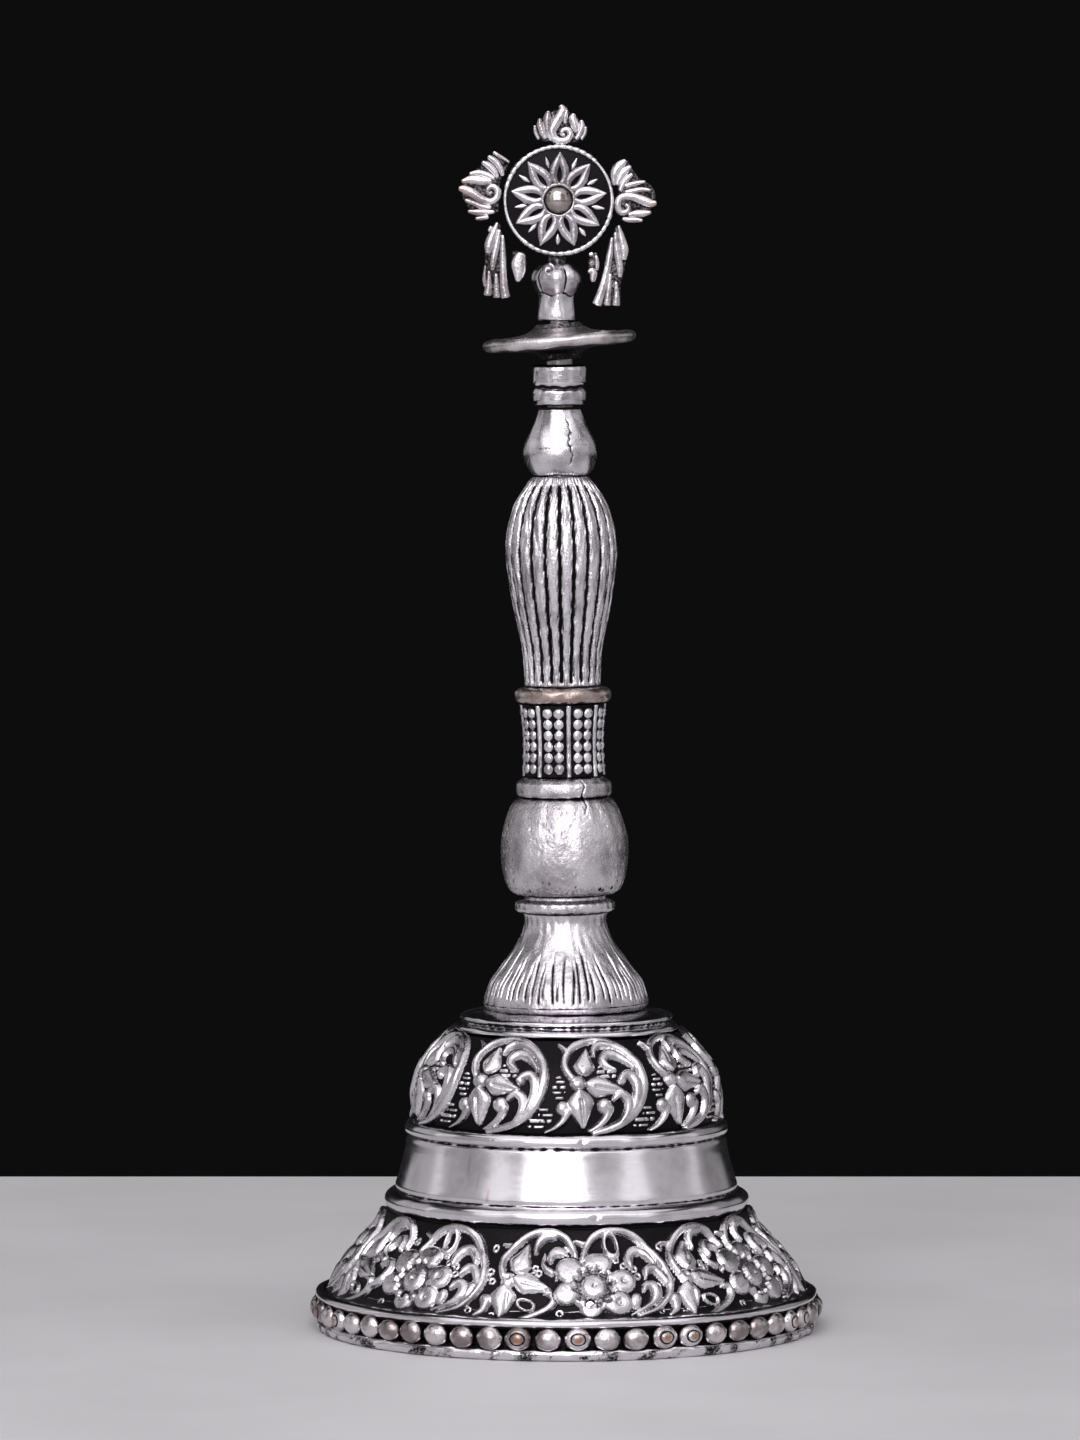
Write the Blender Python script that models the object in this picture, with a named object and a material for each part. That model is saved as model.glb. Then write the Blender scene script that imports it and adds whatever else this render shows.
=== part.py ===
"""Hand bell for household worship: a cast cup with a swinging clapper, a turned handle in sections
threaded on one tie rod, and a wheel finial with flames and ribbons.

Blender 4.5. Lengths in this file are millimetres, turned into metres by MM where a mesh is made.
+Z runs up the handle and the bell rings towards -Z. The front of the wheel faces -Y.
The origin is the centre of the rim, on the surface that the bell stands on.
"""

import math

import bmesh
import bpy
from mathutils import Matrix, Vector

MM = 0.001
GAP = 0.3                       # clearance between pieces that touch

# Cup
RIM_OUTER_R = 38.4
RIM_INNER_R = 36.4
BEAD_ROW_R = 40.2               # widest circle of the whole bell
BEAD_ROW_Z = 3.5
CROWN_Z = 49.8                  # top of the crown, where the handle stands
CROWN_UNDER_Z = 47.3            # inside of the crown
CROWN_HOLE_R = 2.7
CUP_SIDES = 40

# Handle
HANDLE_LEAN = math.radians(-0.6)    # the handle leans a little to -X
BORE_R = 2.4
BASE_TOP_Z = 67.5
BALL_TOP_Z = 86.0
SLEEVE_TOP_Z = 97.3
RING_TOP_Z = 100.0
GRIP_TOP_Z = 132.6
PEAR_TOP_Z = 143.4
COLLAR_TOP_Z = 150.0
GRIP_RIBS = 22
RIB_DEPTH = 0.55
HANDLE_SIDES = 24

# Saucer disc under the finial
DISC_Z = 153.4
DISC_R = 12.0
DISC_BORE_R = 2.9
DISC_SIDES = 32
DISC_TILT = math.radians(-4.9)      # in the handle's frame, so its +X side is the higher one

# Finial
FINIAL_ROLL = math.radians(2.1)
FINIAL_SHIFT_X = -0.6
STEM_FOOT_Z = 156.9
STEM_TOP_Z = 165.9
WHEEL_Z = 175.4
WHEEL_R = 8.7
WHEEL_HALF_DEPTH = 0.9
WHEEL_SIDES = 36
RIM_WIDTH = 0.8
RIM_HALF_DEPTH = 1.25
PETALS = 9
PETAL_TIP_R = 7.6
PETAL_SHOULDER_R = 5.6
PETAL_VALLEY_R = 3.7
ROSETTE_DEPTH = 0.7
HUB_R = 2.1
RIVET_SHANK_R = 0.9
FLAME_DEPTH = 2.4
TANG_HALF_WIDTH = 1.5
TANG_HALF_DEPTH = 0.8
TANG_FOOT_Z = 164.0

# Tie rod and what hangs from it
ROD_R = 2.0
ROD_TIP_R = 1.4                 # reduced end that screws into the finial stem
ROD_TIP_Z = 156.2
ROD_TOP_Z = 161.5
ROD_HEAD_R = 3.3
ROD_HEAD_Z = 37.9
ROD_HEAD_TOP_Z = 39.6
WASHER_R = 5.6
WASHER_TOP_Z = CROWN_UNDER_Z - 0.4
WASHER_THICKNESS = 1.0
NUT_ACROSS_FLATS = 7.0
NUT_HEIGHT = 3.2
YOKE_PLATE_Z = 39.9
YOKE_TOP_Z = 41.6
YOKE_ARM_IN = 3.9
YOKE_ARM_OUT = 5.3
YOKE_HALF_WIDTH = 3.8
YOKE_FOOT_Z = 31.4
PIVOT_Z = 33.6                  # the clapper swings about this height
PIN_R = 1.1
EYE_R = 2.7
EYE_HALF_WIDTH = 1.5
EYE_HOLE_R = 1.4
CLAPPER_ROD_R = 1.2
BOB_Z = 10.0
BOB_R = 6.5


def clear_scene():
    for obj in list(bpy.data.objects):
        bpy.data.objects.remove(obj, do_unlink=True)
    for block in list(bpy.data.meshes):
        bpy.data.meshes.remove(block)


def material(name, color, roughness, metallic=1.0):
    mat = bpy.data.materials.new(name)
    mat.use_nodes = True
    shader = mat.node_tree.nodes["Principled BSDF"]
    shader.inputs["Base Color"].default_value = (*color, 1.0)
    shader.inputs["Roughness"].default_value = roughness
    shader.inputs["Metallic"].default_value = metallic
    return mat


def empty(name, location, parent=None, turn_y=0.0):
    obj = bpy.data.objects.new(name, None)
    bpy.context.scene.collection.objects.link(obj)
    obj.parent = parent
    obj.location = Vector(location) * MM
    obj.rotation_euler = (0.0, turn_y, 0.0)
    return obj


def mesh_object(name, bm, look, parent=None):
    """An object of its own mesh, whose points are in its parent's frame, in millimetres."""
    bmesh.ops.recalc_face_normals(bm, faces=bm.faces)
    bmesh.ops.scale(bm, vec=(MM, MM, MM), verts=bm.verts)
    mesh = bpy.data.meshes.new(name)
    bm.to_mesh(mesh)
    bm.free()
    mesh.shade_smooth()
    mesh.set_sharp_from_angle(angle=math.radians(35))
    mesh.materials.append(look)
    obj = bpy.data.objects.new(name, mesh)
    bpy.context.scene.collection.objects.link(obj)
    obj.parent = parent
    return obj


def handle_piece(name, bm, look, handle):
    """A piece in the handle's leaning frame, drawn at its heights above the bell's foot."""
    bmesh.ops.translate(bm, vec=(0, 0, -CROWN_Z), verts=bm.verts)
    return mesh_object(name, bm, look, handle)


def arc(center, radius, start, end, steps):
    """Points on an arc about center, from one angle to another, in degrees."""
    points = []
    for k in range(steps + 1):
        angle = math.radians(start + (end - start) * k / steps)
        points.append((center[0] + radius * math.cos(angle), center[1] + radius * math.sin(angle)))
    return points


def turned_bmesh(profile, sides, closed=True):
    """Spins (radius, height) points about Z. An open profile starts and ends on the axis."""
    bm = bmesh.new()
    points = [bm.verts.new((radius, 0.0, height)) for radius, height in profile]
    edges = [bm.edges.new(pair) for pair in zip(points, points[1:])]
    if closed:
        edges.append(bm.edges.new((points[-1], points[0])))
    bmesh.ops.spin(
        bm, geom=points + edges, cent=(0, 0, 0), axis=(0, 0, 1),
        angle=2 * math.pi, steps=sides, use_merge=True,
    )
    bmesh.ops.remove_doubles(bm, verts=bm.verts, dist=1e-4)
    return bm


def bored(outline, bore=BORE_R):
    """Closes an outer profile, listed bottom to top, with a straight bore."""
    return outline + [(bore, outline[-1][1]), (bore, outline[0][1])]


def box_bmesh(low, high):
    bm = bmesh.new()
    size = Vector(high) - Vector(low)
    center = (Vector(high) + Vector(low)) / 2
    bmesh.ops.create_cube(bm, size=1.0, matrix=Matrix.Translation(center) @ Matrix.Diagonal((*size, 1)))
    return bm


def plate_bmesh(outlines, front_y, back_y):
    """A plate standing in the XZ plane, between two depths. Outlines after the first are holes."""
    curve = bpy.data.curves.new("outline", "CURVE")
    curve.dimensions = "2D"
    curve.fill_mode = "BOTH"
    curve.extrude = (back_y - front_y) / 2
    for outline in outlines:
        spline = curve.splines.new("POLY")
        spline.points.add(len(outline) - 1)
        for point, (x, z) in zip(spline.points, outline):
            point.co = (x, z, 0.0, 1.0)
        spline.use_cyclic_u = True
    guide = bpy.data.objects.new("outline", curve)
    bm = bmesh.new()
    bm.from_mesh(guide.to_mesh())
    bpy.data.objects.remove(guide)
    bpy.data.curves.remove(curve)
    bmesh.ops.remove_doubles(bm, verts=bm.verts, dist=1e-4)
    upright = Matrix.Rotation(math.pi / 2, 4, "X")
    middle = Matrix.Translation((0.0, (front_y + back_y) / 2, 0.0))
    bmesh.ops.transform(bm, matrix=middle @ upright, verts=bm.verts)
    return bm


def combine(obj, tool_bm, operation):
    """Joins or cuts with a helper shape in obj's own frame, kept as a hidden guide."""
    helper = mesh_object(f"{obj.name}_{operation.lower()}_guide", tool_bm, obj.data.materials[0], obj.parent)
    helper.hide_render = True
    helper.display_type = "WIRE"
    modifier = obj.modifiers.new(operation.title(), "BOOLEAN")
    modifier.operation = operation
    modifier.solver = "EXACT"
    modifier.object = helper


def bell_cup(look):
    rim = [(RIM_INNER_R, 0.0), (RIM_OUTER_R, 0.0), (RIM_OUTER_R + 0.4, 1.4)]
    bead_row = arc((BEAD_ROW_R - 1.9, BEAD_ROW_Z), 1.9, -40, 40, 3)
    flare = [(38.6, 5.9), (37.4, 6.7), (35.7, 10.2), (32.5, 14.1), (30.2, 16.4), (29.2, 18.4), (28.9, 19.0)]
    lower_ring = [(28.1, 19.2), (28.4, 20.2), (28.2, 21.2), (27.0, 21.9)]
    plain_band = [(26.7, 22.4), (25.6, 26.1), (24.7, 30.3)]
    upper_ring = [(25.1, 30.8), (25.1, 31.8), (24.4, 32.7)]
    dome = [(24.5, 35.0), (24.3, 37.4), (23.6, 40.4), (21.9, 43.2), (19.0, 46.5)]
    crown = [(17.4, 47.5), (16.4, 48.8), (14.8, CROWN_Z), (CROWN_HOLE_R, CROWN_Z)]
    inside = [
        (CROWN_HOLE_R, CROWN_UNDER_Z), (13.4, CROWN_UNDER_Z), (17.0, 45.4), (19.6, 42.4), (21.3, 38.6),
        (21.9, 34.0), (22.0, 29.5), (22.8, 25.0), (24.4, 20.8), (27.6, 15.4), (31.2, 10.9), (34.2, 6.2),
    ]
    profile = rim + bead_row + flare + lower_ring + plain_band + upper_ring + dome + crown + inside
    return mesh_object("bell_cup", turned_bmesh(profile, CUP_SIDES), look)


def handle_base(look, handle):
    foot_z = CROWN_Z + GAP
    skirt = [(12.6, foot_z), (12.9, foot_z + 0.8), (12.5, 52.4), (12.0, 54.1), (10.5, 56.0), (9.1, 57.9)]
    cove = [(7.6, 59.9), (6.7, 62.0), (6.3, 63.6), (6.7, 64.7)]
    cord_ring = arc((6.6, 66.3), 1.2, -80, 80, 4)
    profile = bored(skirt + cove + cord_ring + [(6.4, BASE_TOP_Z)])
    return handle_piece("handle_base", turned_bmesh(profile, HANDLE_SIDES), look, handle)


def ball_knop(look, handle):
    foot_z = BASE_TOP_Z + GAP
    ball = [(7.3, foot_z), (8.8, 69.2), (9.5, 71.1), (9.9, 73.6), (9.8, 76.6), (9.1, 79.4), (7.8, 82.2)]
    ring = arc((6.0, 84.3), 1.45, -60, 75, 4)
    profile = bored(ball + [(6.5, 82.8)] + ring + [(6.0, BALL_TOP_Z)])
    return handle_piece("ball_knop", turned_bmesh(profile, HANDLE_SIDES), look, handle)


def beaded_sleeve(look, handle):
    foot_z = BALL_TOP_Z + GAP
    profile = bored([(6.6, foot_z), (6.45, 88.6), (6.4, 91.8), (6.6, 94.8), (6.9, SLEEVE_TOP_Z)])
    return handle_piece("beaded_sleeve", turned_bmesh(profile, HANDLE_SIDES), look, handle)


def sleeve_ring(look, handle):
    foot_z = SLEEVE_TOP_Z + GAP
    ring = arc((6.3, (foot_z + RING_TOP_Z) / 2), 1.2, -80, 80, 4)
    profile = bored([(6.0, foot_z)] + ring + [(6.0, RING_TOP_Z)])
    return handle_piece("sleeve_ring", turned_bmesh(profile, HANDLE_SIDES), look, handle)


def fluted_grip(look, handle):
    """A baluster with raised ribs. Every third side of it is the floor of a flute."""
    foot_z = RING_TOP_Z + GAP
    outline = [
        (5.8, foot_z), (6.0, 102.5), (6.2, 105.7), (7.0, 109.5), (7.7, 113.2), (8.3, 117.0),
        (8.7, 121.0), (8.3, 124.6), (7.2, 128.3), (5.4, 131.2), (4.3, GRIP_TOP_Z),
    ]
    bm = turned_bmesh(bored(outline), GRIP_RIBS * 3)
    for vert in bm.verts:
        radius = math.hypot(vert.co.x, vert.co.y)
        side = round(math.atan2(vert.co.y, vert.co.x) / (2 * math.pi) * GRIP_RIBS * 3)
        at_end = vert.co.z < foot_z + 0.1 or vert.co.z > GRIP_TOP_Z - 0.1
        if side % 3 == 0 and radius > BORE_R + 1.0 and not at_end:
            vert.co.xy *= (radius - RIB_DEPTH) / radius
    return handle_piece("fluted_grip", bm, look, handle)


def pear_knop(look, handle):
    foot_z = GRIP_TOP_Z + GAP
    outline = [
        (4.1, foot_z), (5.1, 134.0), (5.7, 136.4), (5.4, 138.0), (4.6, 139.5),
        (3.9, 141.1), (3.3, 142.7), (3.4, PEAR_TOP_Z),
    ]
    return handle_piece("pear_knop", turned_bmesh(bored(outline), HANDLE_SIDES), look, handle)


def collar(look, handle):
    foot_z = PEAR_TOP_Z + GAP
    outline = [
        (3.9, foot_z), (4.2, 144.2), (4.2, 145.3), (3.8, 145.8), (4.1, 146.3),
        (4.2, 149.5), (3.9, COLLAR_TOP_Z),
    ]
    return handle_piece("collar", turned_bmesh(bored(outline), HANDLE_SIDES), look, handle)


def finial_disc(look, handle):
    """A thin saucer with a neck below and a low cone above, set slightly askew on the handle."""
    tilted = empty("disc_frame", (0.0, 0.0, DISC_Z - CROWN_Z), handle, DISC_TILT)
    neck = [(3.3, -2.7), (3.5, -1.6), (5.0, -1.1)]
    rim = [(DISC_R - 0.8, -0.5), (DISC_R, 0.0), (DISC_R, 0.4), (DISC_R - 0.8, 0.9)]
    cone = [(7.0, 1.2), (4.6, 1.7), (3.6, 2.6), (3.3, 3.0)]
    bm = turned_bmesh(bored(neck + rim + cone, DISC_BORE_R), DISC_SIDES)
    return mesh_object("finial_disc", bm, look, tilted)


def finial_stem(look, finial):
    """A lotus bud stem: a blind hole below takes the tie rod, a slot above takes the wheel's tang."""
    foot, top = 0.0, STEM_TOP_Z - STEM_FOOT_Z
    outline = [
        (0.0, foot), (3.3, foot), (3.7, 1.0), (3.5, 2.4), (3.2, 3.6), (3.6, 5.0),
        (3.8, 6.2), (3.2, 7.8), (2.4, top), (0.0, top),
    ]
    obj = mesh_object("finial_stem", turned_bmesh(outline, 24, closed=False), look, finial)
    hole_depth = ROD_TOP_Z + GAP - STEM_FOOT_Z
    hole_r = ROD_TIP_R + 0.5
    hole = [(0.0, -1.0), (hole_r, -1.0), (hole_r, hole_depth), (0.0, hole_depth)]
    hole_bm = turned_bmesh(hole, 16, closed=False)
    bmesh.ops.translate(hole_bm, vec=(-FINIAL_SHIFT_X, 0, 0), verts=hole_bm.verts)
    combine(obj, hole_bm, "DIFFERENCE")
    slot_foot = TANG_FOOT_Z - GAP - STEM_FOOT_Z
    slot_low = (-TANG_HALF_WIDTH - GAP, -TANG_HALF_DEPTH - GAP, slot_foot)
    slot_high = (TANG_HALF_WIDTH + GAP, TANG_HALF_DEPTH + GAP, top + 1.0)
    combine(obj, box_bmesh(slot_low, slot_high), "DIFFERENCE")
    return obj


def chakra_wheel(look, wheel):
    """A plate with a raised rim on both faces, turned about Y, and a tang that enters the stem."""
    inner, outer = WHEEL_R - RIM_WIDTH, WHEEL_R
    hole = RIVET_SHANK_R + GAP
    profile = [
        (hole, -WHEEL_HALF_DEPTH), (inner, -WHEEL_HALF_DEPTH), (inner + 0.2, -RIM_HALF_DEPTH),
        (outer - 0.2, -RIM_HALF_DEPTH), (outer, -0.7), (outer, 0.7), (outer - 0.2, RIM_HALF_DEPTH),
        (inner + 0.2, RIM_HALF_DEPTH), (inner, WHEEL_HALF_DEPTH), (hole, WHEEL_HALF_DEPTH),
    ]
    bm = turned_bmesh(profile, WHEEL_SIDES)
    bmesh.ops.rotate(bm, cent=(0, 0, 0), matrix=Matrix.Rotation(math.pi / 2, 3, "X"), verts=bm.verts)
    obj = mesh_object("chakra_wheel", bm, look, wheel)
    tang_low = (-TANG_HALF_WIDTH, -TANG_HALF_DEPTH, TANG_FOOT_Z - WHEEL_Z)
    tang_high = (TANG_HALF_WIDTH, TANG_HALF_DEPTH, -WHEEL_R + 1.2)
    combine(obj, box_bmesh(tang_low, tang_high), "UNION")
    return obj


def petal_points(angle):
    """One pointed petal of the rosette, from its left valley to its tip to its right shoulder."""
    half_step = math.pi / PETALS
    polar = [
        (PETAL_VALLEY_R, -half_step), (PETAL_SHOULDER_R, -0.50 * half_step), (PETAL_TIP_R, 0.0),
        (PETAL_SHOULDER_R, 0.50 * half_step),
    ]
    return [(r * math.sin(angle + turn), r * math.cos(angle + turn)) for r, turn in polar]


def petal_slot(angle):
    """The narrow opening along the middle of a petal."""
    polar = [(3.4, -0.12), (4.6, -0.12), (5.7, 0.0), (4.6, 0.12), (3.4, 0.12)]
    return [(r * math.sin(angle + turn), r * math.cos(angle + turn)) for r, turn in polar]


def chakra_rosette(name, look, wheel, front_y, back_y):
    angles = [2 * math.pi * k / PETALS for k in range(PETALS)]
    outline = [point for angle in angles for point in petal_points(angle)]
    hub_hole = arc((0.0, 0.0), RIVET_SHANK_R + GAP, 0, 345, 23)
    outlines = [outline, hub_hole] + [petal_slot(angle) for angle in angles]
    return mesh_object(name, plate_bmesh(outlines, front_y, back_y), look, wheel)


def hub_rivet(look, wheel):
    """A rivet through the wheel with a domed head on each face."""
    head_y = WHEEL_HALF_DEPTH + GAP + ROSETTE_DEPTH + GAP
    dome = [(HUB_R * math.cos(a), head_y + 1.2 * math.sin(a)) for a in (0.0, 0.5, 1.0)]
    top = dome + [(0.0, head_y + 1.2)]
    bottom = [(radius, -height) for radius, height in reversed(top)]
    profile = bottom + [(RIVET_SHANK_R, -head_y), (RIVET_SHANK_R, head_y)] + top
    bm = turned_bmesh(profile, 24, closed=False)
    bmesh.ops.rotate(bm, cent=(0, 0, 0), matrix=Matrix.Rotation(math.pi / 2, 3, "X"), verts=bm.verts)
    return mesh_object("hub_rivet", bm, look, wheel)


def rim_arc(start, end, steps):
    return arc((0.0, 0.0), WHEEL_R + GAP + 0.05, start, end, steps)


def mirrored(outline, side):
    """An outline drawn for +X, kept or turned over to -X."""
    return [(side * x, z) for x, z in outline]


def flame_top(look, wheel):
    """A bunch of seven tongues above the wheel."""
    lobes = [(-2.9, 8.9), (-4.1, 11.2), (-3.3, 12.2), (-2.8, 13.7), (-1.7, 13.3), (0.0, 14.9)]
    right = mirrored(lobes[:-1], -1)[::-1]
    outline = lobes + right + rim_arc(72, 108, 4)[1:-1]
    return mesh_object("flame_top", plate_bmesh([outline], -FLAME_DEPTH / 2, FLAME_DEPTH / 2), look, wheel)


def flame_side(name, look, wheel, side):
    """A fan of ribbon loops above tongues that blow outwards."""
    fan = [(7.7, 6.05), (10.1, 7.5), (11.6, 6.1), (13.0, 5.2)]
    tongues = [
        (14.3, 3.8), (14.1, 3.0), (15.3, 2.7), (14.8, 1.9), (16.0, 1.4), (15.0, 0.2),
        (15.4, -0.4), (14.0, -1.2), (14.4, -2.2), (12.9, -3.2), (11.0, -3.4), (9.4, -2.6),
    ]
    outline = fan + tongues + rim_arc(-14, 34, 6)
    depth = FLAME_DEPTH / 2
    return mesh_object(name, plate_bmesh([mirrored(outline, side)], -depth, depth), look, wheel)


def ribbon(name, look, wheel, outline):
    """A pleated ribbon end that hangs beside the wheel and flares to a cut hem."""
    return mesh_object(name, plate_bmesh([outline], -0.9, 0.9), look, wheel)


def ribbon_left(look, wheel):
    outline = [(8.9, -3.2), (9.7, -3.7), (11.2, -7.0), (11.5, -10.5), (11.2, -14.9), (7.2, -15.7),
               (7.6, -10.5), (8.1, -6.2)]
    return ribbon("ribbon_left", look, wheel, mirrored(outline, -1))


def ribbon_right(look, wheel):
    """The longer of the two, blown in towards the stem."""
    outline = [(8.9, -3.2), (9.7, -3.7), (10.9, -8.3), (10.8, -11.0), (10.2, -13.0), (10.1, -16.2),
               (5.4, -16.5), (6.5, -13.4), (7.2, -10.0), (7.9, -6.2)]
    return ribbon("ribbon_right", look, wheel, outline)


def scroll(name, look, wheel, side, width):
    """A small leaf scroll that fills the corner between the stem, the wheel and a ribbon."""
    outer = 4.5 + width
    outline = [(4.9, -7.8), (outer - 0.4, -7.6), (outer, -9.4), (outer - 0.3, -11.6),
               (outer - 1.3, -13.3), (4.9, -12.0), (4.5, -10.0)]
    return mesh_object(name, plate_bmesh([mirrored(outline, side)], -0.6, 0.6), look, wheel)


def tie_rod(look, handle):
    """One long bolt: its head hangs inside the cup and its tip screws into the finial stem."""
    profile = [
        (0.0, ROD_HEAD_Z), (ROD_HEAD_R - 0.4, ROD_HEAD_Z), (ROD_HEAD_R, ROD_HEAD_Z + 0.5),
        (ROD_HEAD_R, ROD_HEAD_TOP_Z), (ROD_R, ROD_HEAD_TOP_Z), (ROD_R, ROD_TIP_Z - 0.6),
        (ROD_TIP_R, ROD_TIP_Z), (ROD_TIP_R, ROD_TOP_Z), (0.0, ROD_TOP_Z),
    ]
    return handle_piece("tie_rod", turned_bmesh(profile, 24, closed=False), look, handle)


def crown_washer(look, handle):
    outline = [(WASHER_R, WASHER_TOP_Z - WASHER_THICKNESS), (WASHER_R, WASHER_TOP_Z)]
    return handle_piece("crown_washer", turned_bmesh(bored(outline), 32), look, handle)


def crown_nut(look, handle):
    """The hexagon nut that holds the cup and the handle together."""
    top_z = WASHER_TOP_Z - WASHER_THICKNESS - GAP
    foot_z = top_z - NUT_HEIGHT
    corner_r = NUT_ACROSS_FLATS / math.sqrt(3)
    block = [(0.0, foot_z), (corner_r, foot_z), (corner_r, top_z), (0.0, top_z)]
    obj = handle_piece("crown_nut", turned_bmesh(block, 6, closed=False), look, handle)
    hole = [(0.0, foot_z - 1), (BORE_R, foot_z - 1), (BORE_R, top_z + 1), (0.0, top_z + 1)]
    hole_bm = turned_bmesh(hole, 24, closed=False)
    bmesh.ops.translate(hole_bm, vec=(0, 0, -CROWN_Z), verts=hole_bm.verts)
    combine(obj, hole_bm, "DIFFERENCE")
    return obj


def along_x(bm):
    bmesh.ops.rotate(bm, cent=(0, 0, 0), matrix=Matrix.Rotation(math.pi / 2, 3, "Y"), verts=bm.verts)
    return bm


def pin_shape(radius, half_length):
    profile = [(0.0, -half_length), (radius, -half_length), (radius, half_length), (0.0, half_length)]
    return along_x(turned_bmesh(profile, 16, closed=False))


def swivel_yoke(look, link):
    """An upside-down U that turns on the tie rod above its head and carries the clapper's pin."""
    foot, top = YOKE_FOOT_Z - PIVOT_Z, YOKE_TOP_Z - PIVOT_Z
    plate_z = YOKE_PLATE_Z - PIVOT_Z
    outline = [
        (-YOKE_ARM_OUT, foot), (-YOKE_ARM_OUT, top - 0.8), (-YOKE_ARM_OUT + 0.8, top),
        (YOKE_ARM_OUT - 0.8, top), (YOKE_ARM_OUT, top - 0.8), (YOKE_ARM_OUT, foot),
        (YOKE_ARM_IN, foot), (YOKE_ARM_IN, plate_z), (-YOKE_ARM_IN, plate_z), (-YOKE_ARM_IN, foot),
    ]
    bm = plate_bmesh([outline], -YOKE_HALF_WIDTH, YOKE_HALF_WIDTH)
    obj = mesh_object("swivel_yoke", bm, look, link)
    hole_r = ROD_R + 2 * GAP
    hole = [(0.0, plate_z - 1), (hole_r, plate_z - 1), (hole_r, top + 1), (0.0, top + 1)]
    combine(obj, turned_bmesh(hole, 24, closed=False), "DIFFERENCE")
    combine(obj, pin_shape(PIN_R + GAP, YOKE_ARM_OUT + 2), "DIFFERENCE")
    return obj


def yoke_pin(look, link):
    """A pin with peened heads outside the yoke's arms."""
    head_x = YOKE_ARM_OUT + GAP
    end_x = head_x + 0.8
    outline = [(0.0, -end_x), (1.4, -end_x), (1.8, -head_x - 0.3), (1.8, -head_x), (PIN_R, -head_x)]
    other_end = [(radius, -height) for radius, height in reversed(outline)]
    bm = along_x(turned_bmesh(outline + other_end, 16, closed=False))
    return mesh_object("yoke_pin", bm, look, link)


def clapper_rod(look, clapper):
    """A rod with an eye at its top, which hangs on the yoke's pin."""
    ring = [
        (EYE_HOLE_R, -EYE_HALF_WIDTH), (EYE_R, -EYE_HALF_WIDTH), (EYE_R, EYE_HALF_WIDTH),
        (EYE_HOLE_R, EYE_HALF_WIDTH),
    ]
    obj = mesh_object("clapper_rod", along_x(turned_bmesh(ring, 24)), look, clapper)
    foot, top = BOB_Z - PIVOT_Z + GAP, -EYE_R + 0.8
    shaft = [(0.0, foot), (CLAPPER_ROD_R, foot), (CLAPPER_ROD_R, top), (0.0, top)]
    combine(obj, turned_bmesh(shaft, 16, closed=False), "UNION")
    return obj


def clapper_bob(look, clapper):
    """The striking ball, with a neck that holds the end of the rod in a blind hole."""
    center = BOB_Z - PIVOT_Z
    ball = arc((0.0, center), BOB_R, -90, 68, 9)
    hole_r = CLAPPER_ROD_R + GAP
    neck_z = center + BOB_R + 0.8
    neck = [(2.3, neck_z), (hole_r, neck_z), (hole_r, center), (0.0, center)]
    profile = [(0.0, center - BOB_R)] + ball[1:] + neck
    return mesh_object("clapper_bob", turned_bmesh(profile, 24, closed=False), look, clapper)


def main():
    clear_scene()
    silver = (0.60, 0.58, 0.60)

    bell_cup(material("cup_silvered", silver, 0.32))
    handle = empty("handle_frame", (0.0, 0.0, CROWN_Z), turn_y=HANDLE_LEAN)
    handle_base(material("base_silvered", silver, 0.38), handle)
    ball_knop(material("ball_silvered", (0.56, 0.54, 0.55), 0.45), handle)
    beaded_sleeve(material("sleeve_silvered", silver, 0.35), handle)
    sleeve_ring(material("ring_silvered", silver, 0.35), handle)
    fluted_grip(material("grip_silvered", silver, 0.38), handle)
    pear_knop(material("pear_silvered", silver, 0.36), handle)
    collar(material("collar_silvered", silver, 0.28), handle)
    finial_disc(material("disc_silvered", (0.50, 0.46, 0.44), 0.42), handle)

    finial = empty("finial_frame", (FINIAL_SHIFT_X, 0.0, STEM_FOOT_Z - CROWN_Z), handle, FINIAL_ROLL)
    wheel = empty("wheel_frame", (0.0, 0.0, WHEEL_Z - STEM_FOOT_Z), finial)
    finial_stem(material("stem_silvered", silver, 0.35), finial)
    chakra_wheel(material("wheel_dark", (0.10, 0.09, 0.09), 0.55), wheel)
    rosette_look = material("rosette_silvered", silver, 0.35)
    near = WHEEL_HALF_DEPTH + GAP
    far = near + ROSETTE_DEPTH
    chakra_rosette("chakra_rosette_front", rosette_look, wheel, -far, -near)
    chakra_rosette("chakra_rosette_back", rosette_look, wheel, near, far)
    hub_rivet(material("hub_brass", (0.36, 0.30, 0.22), 0.30), wheel)
    flame_look = material("flame_silvered", silver, 0.33)
    ribbon_look = material("ribbon_silvered", silver, 0.36)
    flame_top(flame_look, wheel)
    for label, side in (("left", -1), ("right", 1)):
        flame_side(f"flame_{label}", flame_look, wheel, side)
    ribbon_left(ribbon_look, wheel)
    ribbon_right(ribbon_look, wheel)
    scroll("scroll_left", ribbon_look, wheel, -1, 2.8)
    scroll("scroll_right", ribbon_look, wheel, 1, 2.2)

    tie_rod(material("rod_steel", (0.42, 0.41, 0.40), 0.40), handle)
    crown_washer(material("washer_steel", (0.45, 0.44, 0.42), 0.45), handle)
    crown_nut(material("nut_steel", (0.45, 0.44, 0.42), 0.40), handle)

    link = empty("clapper_link_frame", (0.0, 0.0, PIVOT_Z))
    clapper = empty("clapper_frame", (0.0, 0.0, PIVOT_Z))
    swivel_yoke(material("yoke_brass", (0.45, 0.33, 0.16), 0.40), link)
    yoke_pin(material("pin_steel", (0.45, 0.44, 0.42), 0.40), link)
    clapper_rod(material("clapper_brass", (0.48, 0.36, 0.18), 0.42), clapper)
    clapper_bob(material("bob_brass", (0.50, 0.37, 0.18), 0.38), clapper)


main()
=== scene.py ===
"""Looks of a cast, silvered hand bell: relief, beads, flutes, petals and metal finishes on the CAD frame.

Lengths are millimetres in the bell's own frame unless a name says otherwise; MM turns them into metres.
"""

import math

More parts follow.
